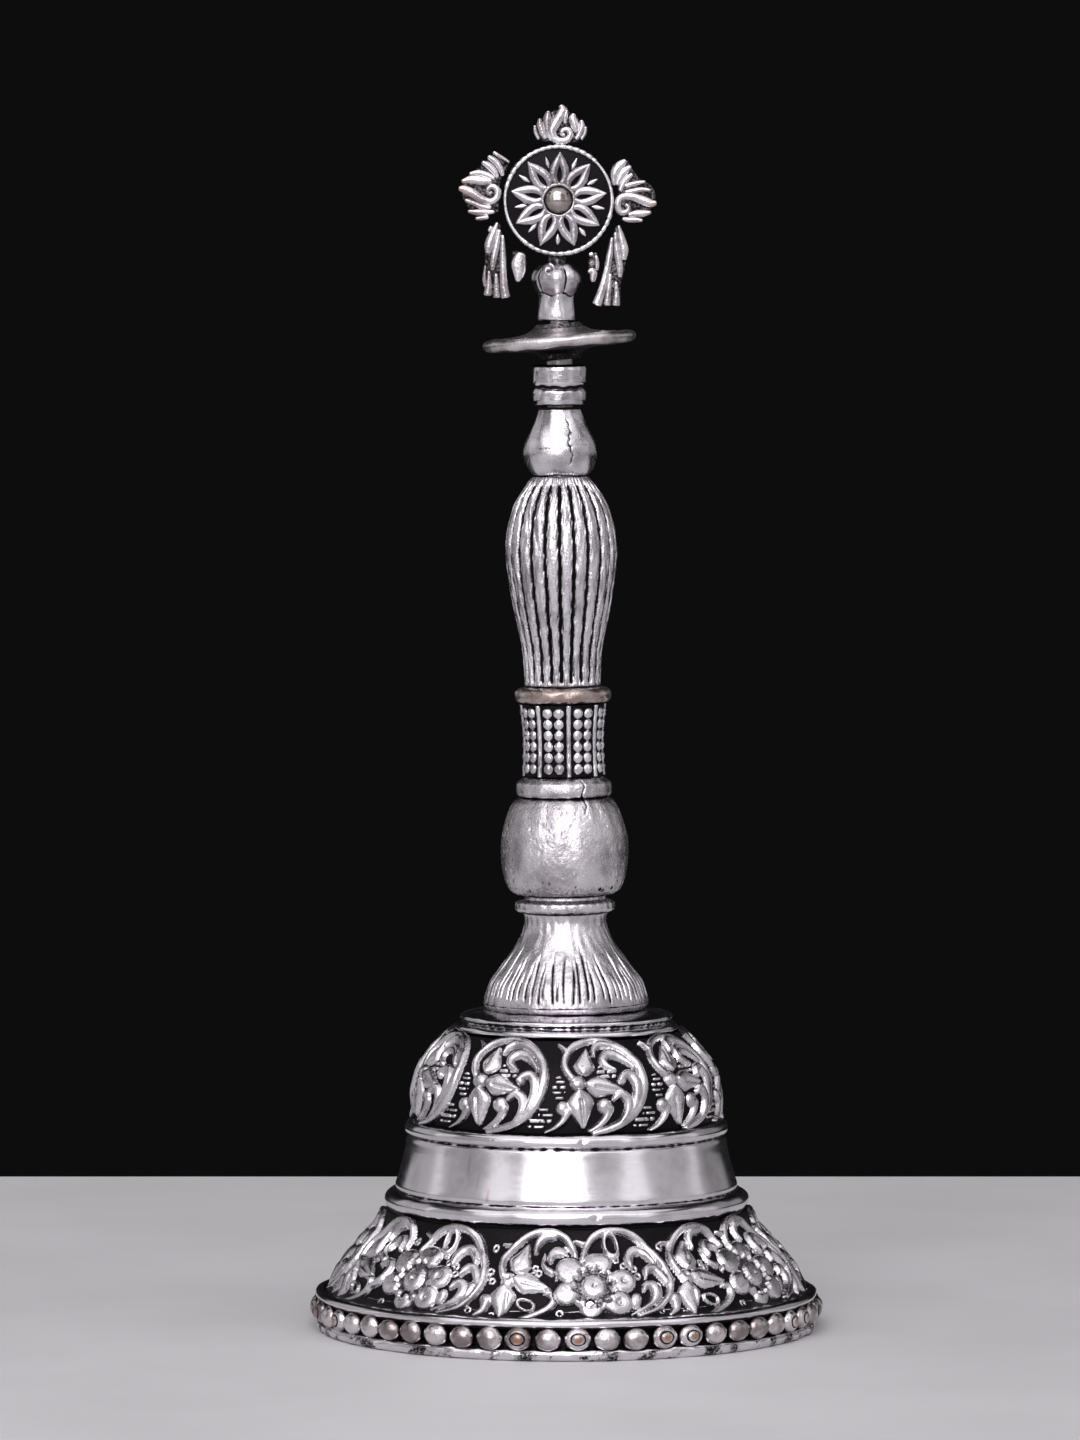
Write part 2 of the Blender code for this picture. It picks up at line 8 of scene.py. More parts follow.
import bpy
import numpy as np
from mathutils import Matrix, Vector


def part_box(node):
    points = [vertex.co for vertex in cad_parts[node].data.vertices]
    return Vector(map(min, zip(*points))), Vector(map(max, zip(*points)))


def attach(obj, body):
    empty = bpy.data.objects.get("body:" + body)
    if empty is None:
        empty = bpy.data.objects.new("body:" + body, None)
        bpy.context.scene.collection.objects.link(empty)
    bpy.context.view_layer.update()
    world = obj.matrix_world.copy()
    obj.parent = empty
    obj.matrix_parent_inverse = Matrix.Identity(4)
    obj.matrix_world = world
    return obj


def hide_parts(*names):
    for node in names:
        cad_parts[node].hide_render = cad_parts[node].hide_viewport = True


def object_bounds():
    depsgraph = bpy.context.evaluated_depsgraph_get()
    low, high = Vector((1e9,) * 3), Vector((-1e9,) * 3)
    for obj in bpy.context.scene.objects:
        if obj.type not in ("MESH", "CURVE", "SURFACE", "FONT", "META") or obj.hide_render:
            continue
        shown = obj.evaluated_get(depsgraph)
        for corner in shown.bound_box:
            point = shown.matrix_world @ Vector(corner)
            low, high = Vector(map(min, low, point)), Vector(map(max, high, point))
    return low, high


MM = 0.001
RNG = np.random.default_rng(11)

# Cup ornament
BEADS = 54
BEAD_HALF_WIDTH, BEAD_HALF_DEPTH, BEAD_HALF_HEIGHT = 2.15, 1.75, 1.8
BEAD_Z = 3.4
BEAD_MIDDLE_R = 38.4
RELIEF = 0.95                   # height of the casting's relief above its ground
DOME_UNITS = 9
DOME_FIRST = math.radians(15.7)
DOME_FOOT_Z = 32.75
DOME_RULER_R = 24.2             # radius at which the dome's pattern is drawn to scale
# The casting is uneven: where each of the seven flowers stands, and how far on its spray is, in degrees.
FLOWER_FIRST = 6.8
FLOWERS = ((0.0, 25.5), (49.2, 25.5), (101.0, 25.5), (153.5, 25.5), (206.0, 25.5), (258.0, 25.5),
           (310.6, 27.3))
STROKE_GAIN = 1.15              # fullness of the scrolls
LEAF_GAIN = 1.22
FLARE_RULER_R = 36.3

DOME_PATTERN, FLARE_PATTERN = 16.5, 14.6    # height of each band's pattern in its own units
RELIEF_BACK = 0.45              # how far a band's back lies under its ground
TARGET_SHARE = 0.55             # share of the beads struck with a ring round a coppery centre
RING_PITS = ((math.radians(9.0), 20.4), (math.radians(5.5), 31.7))
SCRATCHED = (math.radians(-32.0), math.radians(9.0))   # copper shows through the plain band about here

# Handle ornament
GRIP_RIBS = 22
HANDLE_BORE_R = 2.4             # the hole down the handle's pieces
SKIRT_CUTS = 68
BALL_PITS = 150
SLEEVE_PANELS = 8
SLEEVE_ROWS = 6
SLEEVE_FIRST = math.radians(7.7)
SLEEVE_RULER_R = 6.2

# Finial ornament
PETALS = 9
PETAL_TIP_R = 7.5
FLAME_HALF_DEPTH = 1.15
SLAB_RAISED = 0.27              # how bright the plate between the strokes is
LEAF_SCROLL_GAIN = 1.5
TONGUE_GAIN = 1.6              # fullness of the flames and ribbons
COPPER_FROM_R, COPPER_FULL_R = 13.3, 15.0   # worn tips of the flames, from the middle of the wheel

# Clapper, yoke and fastenings
SHARP_ANGLE = 40                # degrees from which an edge stays sharp or is bevelled
EDGE_BEVEL = 0.15

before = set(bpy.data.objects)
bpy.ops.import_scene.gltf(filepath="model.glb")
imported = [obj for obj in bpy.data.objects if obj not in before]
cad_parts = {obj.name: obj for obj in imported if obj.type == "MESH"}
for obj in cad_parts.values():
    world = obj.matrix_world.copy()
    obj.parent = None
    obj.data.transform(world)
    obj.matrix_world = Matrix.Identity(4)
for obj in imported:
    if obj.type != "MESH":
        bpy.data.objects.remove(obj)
SIZE_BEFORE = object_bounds()


# ---------------------------------------------------------------- mesh building


class Shape:
    """Closed shells in one mesh. Each point has 'raised', 0 in a recess and low under the saucer and the ball
    where it paints their shade, and 'worn', 1 where copper shows.
    """

    def __init__(self):
        self.points, self.faces, self.raised, self.worn, self.count = [], [], [], [], 0

    def add(self, points, faces, raised=1.0, worn=0.0):
        points = np.asarray(points, float).reshape(-1, 3)
        if shell_volume(points, faces) < 0:
            faces = [block[:, ::-1] for block in faces]
        self.points.append(points)
        self.faces += [block + self.count for block in faces]
        self.raised.append(np.broadcast_to(np.asarray(raised, float).reshape(-1), (len(points),)))
        self.worn.append(np.broadcast_to(np.asarray(worn, float).reshape(-1), (len(points),)))
        self.count += len(points)
        return self


def shell_volume(points, faces):
    total = 0.0
    center = points.mean(0)
    for block in faces:
        for k in range(1, block.shape[1] - 1):
            a, b, c = (points[block[:, i]] - center for i in (0, k, k + 1))
            total += np.einsum("ij,ij->i", a, np.cross(b, c)).sum()
    return total


def clamp(x):
    return np.clip(x, 0, 1)


def hill(x, width):
    """A smooth bump: 1 at the middle, 0.37 at width."""
    return np.exp(-((x / width) ** 2))


def round_off(angle):
    """The same angle between -pi and pi."""
    return (angle + math.pi) % (2 * math.pi) - math.pi


def grid_quads(rows, cols, wrap_rows=False, wrap_cols=True):
    r = np.arange(rows if wrap_rows else rows - 1)
    c = np.arange(cols if wrap_cols else cols - 1)
    r, c = np.meshgrid(r, c, indexing="ij")
    r2, c2 = (r + 1) % rows, (c + 1) % cols
    quads = np.stack([r * cols + c, r * cols + c2, r2 * cols + c2, r2 * cols + c], -1)
    return quads.reshape(-1, 4)


def fan(ring, pole):
    nxt = np.roll(ring, -1)
    return np.stack([ring, nxt, np.full(len(ring), pole)], -1)


def build(name, shape, look, body, nodes, matrix=None, crease=None):
    points = np.vstack(shape.points)
    if matrix is not None:
        turn = np.array(matrix)
        points = points @ turn[:3, :3].T + turn[:3, 3]
    mesh = bpy.data.meshes.new(name)
    mesh.vertices.add(len(points))
    mesh.vertices.foreach_set("co", (points * MM).astype(np.float32).ravel())
    corners = np.concatenate([block.ravel() for block in shape.faces])
    sides = np.concatenate([np.full(len(block), block.shape[1]) for block in shape.faces])
    mesh.loops.add(len(corners))
    mesh.loops.foreach_set("vertex_index", corners.astype(np.int32))
    mesh.polygons.add(len(sides))
    mesh.polygons.foreach_set("loop_start", (np.cumsum(sides) - sides).astype(np.int32))
    mesh.update(calc_edges=True)
    mesh.validate()
    mesh.shade_smooth()
    if crease:
        mesh.set_sharp_from_angle(angle=math.radians(crease))
    for label, parts in (("raised", shape.raised), ("worn", shape.worn)):
        values = mesh.attributes.new(label, "FLOAT", "POINT")
        values.data.foreach_set("value", np.concatenate(parts).astype(np.float32))
    mesh.materials.append(look)
    obj = bpy.data.objects.new(name, mesh)
    bpy.context.scene.collection.objects.link(obj)
    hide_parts(*nodes)
    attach(obj, body)
    return obj


def curve(points, steps=8):
    """A smooth path through rows of numbers; the first columns are places and the rest are sizes."""
    p = np.asarray(points, float)
    p = np.vstack([2 * p[0] - p[1], p, 2 * p[-1] - p[-2]])
    t = np.linspace(0, 1, steps, endpoint=False)[:, None]
    out = []
    for a, b, c, d in zip(p, p[1:], p[2:], p[3:]):
        bend = (2 * a - 5 * b + 4 * c - d) * t**2 + (3 * b - a - 3 * c + d) * t**3
        out.append(0.5 * (2 * b + (c - a) * t + bend))
    return np.vstack(out + [p[-2:-1]])


def even(points, step):
    """The same line with points at an even spacing."""
    p = np.asarray(points, float)
    along = np.concatenate([[0], np.cumsum(np.hypot(*np.diff(p[:, :2], axis=0).T))])
    where = np.linspace(0, along[-1], max(2, int(along[-1] / step) + 1))
    return np.stack([np.interp(where, along, column) for column in p.T], -1)


def line_normals(p):
    t = np.gradient(p, axis=0)
    t /= np.maximum(np.hypot(t[:, 0], t[:, 1]), 1e-9)[:, None]
    return np.stack([t[:, 1], -t[:, 0]], -1)


def azimuths(cols):
    """Angles round +Z, from the front (-Y) towards +X."""
    return np.linspace(-math.pi, math.pi, cols, endpoint=False)


def spun(radius, height, cols):
    """Points of a turned grid: radius is rows x cols, height is rows x cols or one per row."""
    a = azimuths(cols)[None, :]
    height = np.broadcast_to(np.reshape(height, (len(radius), -1)), radius.shape)
    return np.stack([radius * np.sin(a), -radius * np.cos(a), height], -1)


def turned(profile, cols, lift=None, raised=None, bore=None):
    """A turned shell. lift moves each point out along the profile's normal; bore closes it inside."""
    p = np.asarray(profile, float)
    n = line_normals(p)
    lift = np.zeros((len(p), cols)) if lift is None else lift
    raised = np.ones((len(p), cols)) if raised is None else raised
    radius = p[:, :1] + n[:, :1] * lift
    height = p[:, 1:2] + n[:, 1:2] * lift
    if bore is None:
        points = spun(radius, height, cols).reshape(-1, 3)
        poles = [[0, 0, p[0, 1]], [0, 0, p[-1, 1]]]
        count = len(points)
        ring = np.arange(cols)
        faces = [grid_quads(len(p), cols), fan(ring[::-1], count), fan(ring + count - cols, count + 1)]
        return Shape().add(np.vstack([points, poles]), faces, np.append(raised.ravel(), [1, 1]))
    inner_r = np.full((2, cols), bore)
    inner_z = np.repeat([[p[-1, 1]], [p[0, 1]]], cols, 1)
    points = spun(np.vstack([radius, inner_r]), np.vstack([height, inner_z]), cols)
    low = np.zeros((2, cols))
    return Shape().add(points, [grid_quads(len(p) + 2, cols, True)], np.vstack([raised, low]))


def strand(path, sides, shape, tip=0.15, raised=1.0, copper=0.0):
    """A closed tube along rows of (x, y, z, width, depth) that lie near a plane facing -Y."""
    p = np.asarray(path, float)
    t = np.gradient(p[:, [0, 2]], axis=0)
    t /= np.maximum(np.hypot(*t.T), 1e-9)[:, None]
    across = np.stack([-t[:, 1], np.zeros(len(p)), t[:, 0]], -1)
    a = np.linspace(0, 2 * math.pi, sides, endpoint=False)
    ring = across[:, None] * (p[:, 3, None, None] / 2) * np.cos(a)[None, :, None]
    ring = ring + np.array([0, 1, 0]) * (p[:, 4, None, None] / 2) * np.sin(a)[None, :, None]
    points = (p[:, None, :3] + ring).reshape(-1, 3)
    out = np.stack([t[:, 0], np.zeros(len(p)), t[:, 1]], -1)
    poles = [p[0, :3] - out[0] * tip, p[-1, :3] + out[-1] * tip]
    count = len(points)
    ring = np.arange(sides)
    faces = [grid_quads(len(p), sides), fan(ring[::-1], count), fan(ring + count - sides, count + 1)]
    points = np.vstack([points, poles])
    worn = (np.hypot(points[:, 0], points[:, 2]) - COPPER_FROM_R) / (COPPER_FULL_R - COPPER_FROM_R)
    return shape.add(points, faces, raised, copper * clamp(worn))


def ripple(size, amount, length, seed):
    """A smooth random field on a wrapped grid, for hand-worked unevenness."""
    rng = np.random.default_rng(seed)
    rows, cols = size
    v, u = np.meshgrid(np.linspace(0, 1, rows), np.linspace(0, 2 * math.pi, cols, endpoint=False),
                       indexing="ij")
    total = np.zeros(size)
    for _ in range(10):
        turns = rng.integers(1, max(2, int(length)))
        total += np.sin(turns * u + rng.uniform(0, 6.28) + rng.uniform(-length, length) * v)
    return amount * total / math.sqrt(10)


# ---------------------------------------------------------------- relief drawing


class Relief:
    """Heights from 0 to 1 on a patch of surface, where each mark keeps the higher of two."""

    def __init__(self, u, v):
        self.u, self.v, self.h = u, v, np.zeros(u.shape)
        self.cover = np.zeros(u.shape, bool)    # where this unit hides what lies under it

    def keep(self, mark):
        self.h = np.maximum(self.h, mark)

    def distance(self, path):
        """Distance from a path of (u, v, width), as a share of half its width there."""
        best = np.full(self.u.shape, 9.0)
        for a, b in zip(path, path[1:]):
            du, dv = b[0] - a[0], b[1] - a[1]
            along = ((self.u - a[0]) * du + (self.v - a[1]) * dv) / max(du * du + dv * dv, 1e-9)
            along = clamp(along)
            off = np.hypot(self.u - a[0] - along * du, self.v - a[1] - along * dv)
            best = np.minimum(best, off / ((a[2] + (b[2] - a[2]) * along) / 2))
        return best

    def ridge(self, points, height=1.0, groove=0.0):
        d = self.distance(curve([(u, v, w * STROKE_GAIN) for u, v, w in points], 6))
        self.keep(height * (clamp(1 - d**2.6) ** 0.5 - groove * hill(d, 0.25) * (d < 1)))

    def boss(self, u, v, ru, rv=None, height=1.0, edge=2.0, turn=0.0):
        rv = rv or ru
        c, s = math.cos(turn), math.sin(turn)
        x, y = (self.u - u) * c + (self.v - v) * s, (self.v - v) * c - (self.u - u) * s
        d = np.hypot(x / ru, y / rv)
        self.keep(height * clamp(1 - d**edge) ** 0.5)

    def leaf(self, foot, tip, half, height=1.0, crease=0.5, lean=0.0):
        """A pointed leaf with a crease; half is its half-width at its fullest."""
        foot, tip = np.array(foot, float), np.array(tip, float)
        length = np.hypot(*(tip - foot))
        axis = (tip - foot) / length
        x = (self.u - foot[0]) * axis[0] + (self.v - foot[1]) * axis[1]
        y = (self.v - foot[1]) * axis[0] - (self.u - foot[0]) * axis[1]
        t = clamp(x / length)
        width = LEAF_GAIN * half * np.sqrt(clamp(t / 0.3)) * clamp((1 - t) / 0.62) ** 0.8
        inside = (x > 0) & (x < length)
        d = np.abs(y) / np.maximum(width, 1e-3)
        body = clamp(1 - d**2.2) ** 0.5
        cut = crease * hill(y - lean, 0.2) * (t > 0.25)
        self.keep(np.where(inside, height * (body - cut * body), 0))

    def ring(self, u, v, r, width=0.35, height=0.5, squash=1.0, turn=0.0):
        c, s = math.cos(turn), math.sin(turn)
        x, y = (self.u - u) * c + (self.v - v) * s, (self.v - v) * c - (self.u - u) * s
        d = np.abs(np.hypot(x, y / squash) - r) / (width / 2)
        self.keep(height * clamp(1 - d**2) ** 0.5)

    def pearls(self, *places):
        for u, v in places:
            self.ring(u, v, 0.42, 0.3, 0.5)

    def pit(self, u, v, r, depth):
        d = np.hypot(self.u - u, self.v - v) / r
        self.h = self.h - depth * clamp(1 - d**2)

    def dashes(self, u, v, ru, rv, pitch=0.9, height=0.5):
        inside = np.hypot((self.u - u) / ru, (self.v - v) / rv) < 1
        bar = np.sin(self.v * 2 * math.pi / pitch) > 0.1
        gap = np.sin(self.u * 3.1 + np.floor(self.v / pitch) * 2.1) > -0.75
        self.keep(np.where(inside & bar & gap, height, 0))


def dome_unit(r, wobble, kind):
    """A scroll that opens at lower left, round a five-part spray of leaves and hooks."""
    w = wobble
    spiral = [(-5.6, 8.9, 1.0), (-6.5, 10.2, 1.1), (-6.9, 11.8, 1.2), (-6.4, 13.6, 1.2), (-5.0, 15.0, 1.2),
              (-2.4, 15.9, 1.1), (0.75, 15.9, 1.25), (3.7, 14.6, 1.4), (5.9, 12.2, 1.5), (6.6, 9.4, 1.5),
              (6.3, 6.6, 1.5), (5.0, 3.9, 1.4), (3.0, 2.0, 1.3), (0.4, 0.8, 1.2), (-2.3, 0.1, 0.9)]
    r.ridge([(u + w[0] * 0.2, v, s) for u, v, s in spiral])
    r.ridge([(-8.3, 15.1, 0.3), (-7.3, 14.4, 0.7), (-6.5, 13.4, 1.0)])
    r.boss(-4.8, 8.1, 1.4, height=1.0)
    r.leaf((-3.6, 8.0), (2.6, 6.7 + w[1] * 0.3), 1.55, crease=0.45, lean=-0.25)
    r.leaf((-4.7, 7.0), (-4.1, 0.7), 1.85, crease=0.5, lean=0.5 * w[2])
    r.leaf((-3.9, 9.4), (-3.0, 14.2), 1.6, crease=0.12, lean=0.4)
    r.ridge([(-1.7, 13.2, 0.7), (-1.3, 14.4, 1.2), (0.2, 15.2, 1.3), (3.3, 14.4, 1.2), (5.4, 12.2, 0.7)])
    r.ridge([(1.6, 10.2, 0.6), (0.2, 11.2, 1.2), (0.0, 12.4, 1.6), (1.1, 13.3, 1.7), (2.7, 13.0, 1.5),
             (4.1, 11.9, 1.1), (5.2, 10.4, 0.6)], 0.95, 0.25 * (kind == 1))
    r.ridge([(2.2, 8.4, 0.7), (3.0, 9.2, 1.3), (4.2, 9.4, 1.5), (5.0, 8.2, 1.6), (5.1, 6.4, 1.6),
             (4.5, 4.6, 1.2), (3.6, 3.2, 0.5)])
    r.boss(2.6, 8.3, 0.75, height=0.9)
    r.ridge([(1.0, 5.5, 0.9), (2.0, 6.2, 1.2), (3.0, 5.6, 1.4), (3.3, 4.3, 1.3), (2.8, 2.9, 1.0),
             (1.7, 1.7, 0.5)])
    r.boss(-0.6, 4.3, 1.3, 1.25, height=0.9)
    r.ridge([(0.1, 3.9, 1.5), (-0.4, 2.6, 1.1), (-1.6, 1.4, 0.8), (-3.2, 0.5, 0.35)], 0.9)
    r.boss(-7.3, 4.0, 1.15, 1.2, height=0.9)
    r.ridge([(-6.6, 3.5, 1.4), (-7.2, 2.2, 1.0), (-8.4, 1.1, 0.7), (-10.0, 0.3, 0.35)], 0.9)
    r.dashes(0.2, 10.0, 1.7, 1.5)
    r.dashes(-7.9, 7.2, 1.0, 2.1)
    r.dashes(-10.0, 3.0, 1.1, 1.5)
    r.dashes(5.4, 1.6, 1.5, 0.9)


def flower_unit(r, wobble, kind):
    """A flower of six petals round a toothed ring, under a scroll that curls in at its right."""
    petals = [(4.6, 6.1, 2.0, 1.75), (3.5, 2.7, 1.95, 1.8), (-0.6, 1.75, 1.5, 1.25), (-4.2, 4.2, 1.8, 1.7),
              (-3.7, 8.1, 2.2, 1.9), (0.9, 9.2, 2.3, 1.7)]
    r.u = r.u / 1.05
    arch = [(-1.5, 9.8, 1.0), (-0.7, 11.8, 1.1), (1.0, 13.3, 1.15), (3.6, 14.0, 1.1), (6.7, 13.7, 1.15),
            (9.3, 12.3, 1.2), (11.0, 10.3, 1.2), (12.0, 8.2, 1.15), (12.3, 5.9, 1.2), (11.9, 4.2, 1.0),
            (10.8, 2.7, 0.85), (9.0, 1.4, 0.75), (6.3, 0.6, 0.5)]
    r.ridge([(u, v + wobble[0] * 0.15, w) for u, v, w in arch])
    r.ridge([(-2.6, 12.6, 0.4), (-1.5, 12.3, 0.7), (-0.5, 12.0, 0.8)], 0.8)
    if kind == 0:
        r.ring(3.7, 11.9, 1.15, 0.75, 0.95, 1.5, 0.15)
    else:
        r.ridge([(3.2, 10.9, 0.8), (3.1, 12.0, 1.3), (4.2, 13.1, 1.3), (6.4, 13.3, 1.0)])
    r.ridge([(6.3, 8.2, 0.7), (6.3, 9.4, 1.5), (7.0, 10.7, 1.5), (8.3, 11.0, 1.3), (9.5, 10.2, 1.2),
             (10.4, 8.8, 0.8)])
    r.ridge([(8.4, 6.5, 0.5), (8.9, 7.6, 1.2), (10.1, 7.9, 1.3), (11.0, 6.9, 1.3), (11.6, 5.5, 1.2)])
    r.ridge([(7.5, 4.3, 0.5), (8.2, 5.2, 1.1), (9.3, 5.0, 1.5), (9.6, 3.8, 1.6), (8.6, 2.5, 0.9),
             (6.8, 1.5, 0.5), (5.2, 0.8, 0.3)])
    r.boss(6.2, 2.9, 0.85, 1.35, 0.7, 3.0, -0.3)
    r.pearls((4.2, 9.6), (5.2, 8.6), (7.2, 6.8), (6.9, 8.0), (-4.4, 11.4), (12.9, 11.5), (-5.2, 1.2))
    ring_d = np.hypot(r.u, r.v - 5.3)
    teeth = 3.05 + 0.28 * np.sign(np.sin(12 * np.arctan2(r.v - 5.3, r.u) + wobble[1]))
    skirt = np.where(ring_d < 4.0, clamp((4.0 - ring_d) / 0.7) ** 0.5 * 0.75, 0)
    r.keep(skirt)
    for u, v, ru, rv in petals:
        r.boss(u, v, ru * 1.1, rv * 1.1, 0.9, 5.0)
        r.cover |= np.hypot((r.u - u) / (ru + 0.4), (r.v - v) / (rv + 0.4)) < 1
    r.cover |= ring_d < 4.0
    r.h = np.where(ring_d < teeth, 0.12, r.h)
    crown = 1.92 + 0.08 * np.sin(18 * np.arctan2(r.v - 5.3, r.u))
    r.keep(np.where(ring_d < crown, 0.8 * clamp(1 - (ring_d / crown) ** 6) ** 0.5, 0))
    r.pit(0, 5.3, 0.28, 0.6)
    if kind == 0:
        for u, v in ((4.8, 6.0), (3.6, 2.6)):
            r.pit(u, v, 0.62, 0.35)
            r.boss(u, v, 0.3, height=1.05)
    r.pit(-0.7, 2.5, 0.8, 0.45)


def spray_unit(r, wobble, kind):
    """A ball with two creased leaves, a teardrop and hooks, under its own scroll."""
    arch = [(-1.0, 7.0, 1.1), (-1.6, 8.8, 1.15), (-1.3, 10.3, 1.15), (0.4, 12.2, 1.15), (3.1, 13.7, 1.15),
            (5.5, 14.1, 1.15), (7.8, 13.9, 1.2), (9.7, 13.0, 1.2), (10.8, 11.6, 1.15), (11.2, 10.2, 0.9)]
    r.ridge([(u, v + wobble[0] * 0.15, w) for u, v, w in arch])
    r.ridge([(-2.3, 12.0, 0.4), (-0.8, 11.9, 0.7), (0.2, 12.0, 0.8)], 0.8)
    r.boss(0, 6.2, 1.35)
    r.pit(0.0, 6.4, 0.5, 0.4 * kind)
    r.leaf((0.9, 6.4), (7.1, 4.8), 1.45, crease=0.4, lean=-0.25)
    r.leaf((-0.4, 5.3), (-0.5, 0.2), 1.8, crease=0.55, lean=0.75)
    r.leaf((0.9, 7.4), (2.7, 12.1), 1.75, crease=0.1)
    r.ridge([(4.1, 10.9, 0.7), (4.2, 12.0, 1.2), (5.3, 13.0, 1.3), (7.6, 13.3, 1.1)])
    r.ridge([(6.9, 9.3, 0.7), (6.9, 10.3, 1.4), (7.8, 11.1, 1.5), (9.0, 10.8, 1.3), (9.9, 9.6, 0.7)])
    r.ridge([(5.8, 10.6, 0.4), (5.5, 9.2, 0.6), (6.2, 8.1, 0.9), (7.2, 7.6, 1.1)], 0.85)
    r.ridge([(8.0, 6.6, 0.6), (9.2, 7.4, 1.2), (10.4, 6.6, 1.3), (10.2, 5.0, 1.3), (9.2, 3.8, 1.1),
             (8.2, 3.1, 0.5)])
    r.ridge([(6.2, 4.1, 0.5), (7.3, 4.1, 1.0), (7.6, 2.9, 1.1), (6.6, 1.8, 1.0), (4.6, 0.9, 0.9),
             (2.0, 0.2, 0.6)])
    r.ring(3.3, 2.4, 1.35, 0.55, 0.8, 0.55, -0.3)
    r.boss(-3.1, 2.9, 1.15, 1.1, 0.9)
    r.ridge([(-3.0, 2.6, 1.5), (-3.4, 1.4, 1.1), (-4.6, 0.6, 0.5)], 0.9)
    r.boss(-5.9, 4.8, 1.0, 1.0, 0.85)
    r.ridge([(-5.9, 4.6, 1.3), (-6.3, 3.3, 1.0), (-6.6, 2.4, 0.5)], 0.85)
    r.pearls((4.3, 8.3), (5.0, 7.5), (4.1, 7.2), (-5.8, 1.3), (-1.9, 0.7), (-3.6, 6.6), (-3.3, 7.5),
             (-2.7, 6.0))


def spread(heights, azimuth, v, units, ruler_r, reach):
    """Draws each unit on its own stretch of the wrapped grid."""
    for angle, draw, wobble, kind in units:
        off = round_off(azimuth - angle)
        cols = np.flatnonzero(np.abs(off) * ruler_r < reach)
        cols = cols[np.argsort(off[cols])]
        u, vv = np.meshgrid(off[cols] * ruler_r, v)
        patch = Relief(u, vv)
        draw(patch, wobble, kind)
        heights[:, cols] = np.where(patch.cover, patch.h, np.maximum(heights[:, cols], patch.h))
    return heights


# ---------------------------------------------------------------- cup


def relief_skin(name, profile, heights, look, grain_seed):
    """A closed band of cast ornament; heights of 0 to 1 stand RELIEF above its ground."""
    p = np.asarray(profile, float)
    rows, cols = heights.shape
    n = line_normals(p)
    uneven = ripple(heights.shape, 0.035, 40, grain_seed)
    lift = heights * RELIEF - RELIEF + uneven * (0.3 + heights)
    radius, height = p[:, :1] + n[:, :1] * lift, p[:, 1:2] + n[:, 1:2] * lift
    behind = np.linspace(rows - 1, 0, 8).astype(int)
    back = p[behind] - n[behind] * (RELIEF + RELIEF_BACK)
    radius = np.vstack([radius, np.repeat(back[:, :1], cols, 1)])
    height = np.vstack([height, np.repeat(back[:, 1:2], cols, 1)])
    raised = np.vstack([clamp(heights / 0.4), np.zeros((8, cols))])
    shape = Shape().add(spun(radius, height, cols), [grid_quads(rows + 8, cols, True)], raised)
    return build(name, shape, look, "bell", ["bell_cup"])


def cup_dome(look):
    line = [(24.3, 32.1), (24.5, 32.9), (24.5, 35.0), (24.3, 37.4), (23.6, 40.4), (21.9, 43.2),
            (19.0, 46.3), (17.9, 47.2)]
    line = even(curve(line, 12), 0.17)
    along = np.concatenate([[0], np.cumsum(np.hypot(*np.diff(line, axis=0).T))])
    start = np.interp(DOME_FOOT_Z, line[:, 1], along)
    v = (along - start) / (along[-1] - start) * DOME_PATTERN
    cols = 900
    units = [(DOME_FIRST + 2 * math.pi * k / DOME_UNITS, dome_unit, RNG.uniform(-1, 1, 4), k % 2)
             for k in range(DOME_UNITS)]
    heights = spread(np.zeros((len(line), cols)), azimuths(cols), v, units, DOME_RULER_R, 11.5)
    return relief_skin("cup_dome_relief", line, heights, look, 3)


def cup_flare(look):
    line = [(38.9, 6.0), (38.0, 6.3), (37.4, 6.8), (35.7, 10.2), (32.5, 14.1), (30.2, 16.4), (29.2, 18.4),
            (28.6, 19.3)]
    line = even(curve(line, 12), 0.2)
    arc = np.concatenate([[0], np.cumsum(np.hypot(*np.diff(line, axis=0).T))])
    v = (arc - 1.0) / (arc[-1] - 1.0) * FLARE_PATTERN
    cols = 1000
    sprays, flowers = [], []
    for k, (turn, spray) in enumerate(FLOWERS):
        angle = math.radians(FLOWER_FIRST + turn)
        flowers.append((angle, flower_unit, RNG.uniform(-1, 1, 4), k % 2))
        sprays.append((angle + math.radians(spray), spray_unit, RNG.uniform(-1, 1, 4), 1 - k % 2))
    units = sprays + flowers
    heights = spread(np.zeros((len(line), cols)), azimuths(cols), v, units, FLARE_RULER_R, 14.5)
    return relief_skin("cup_flare_relief", line, heights, look, 5)


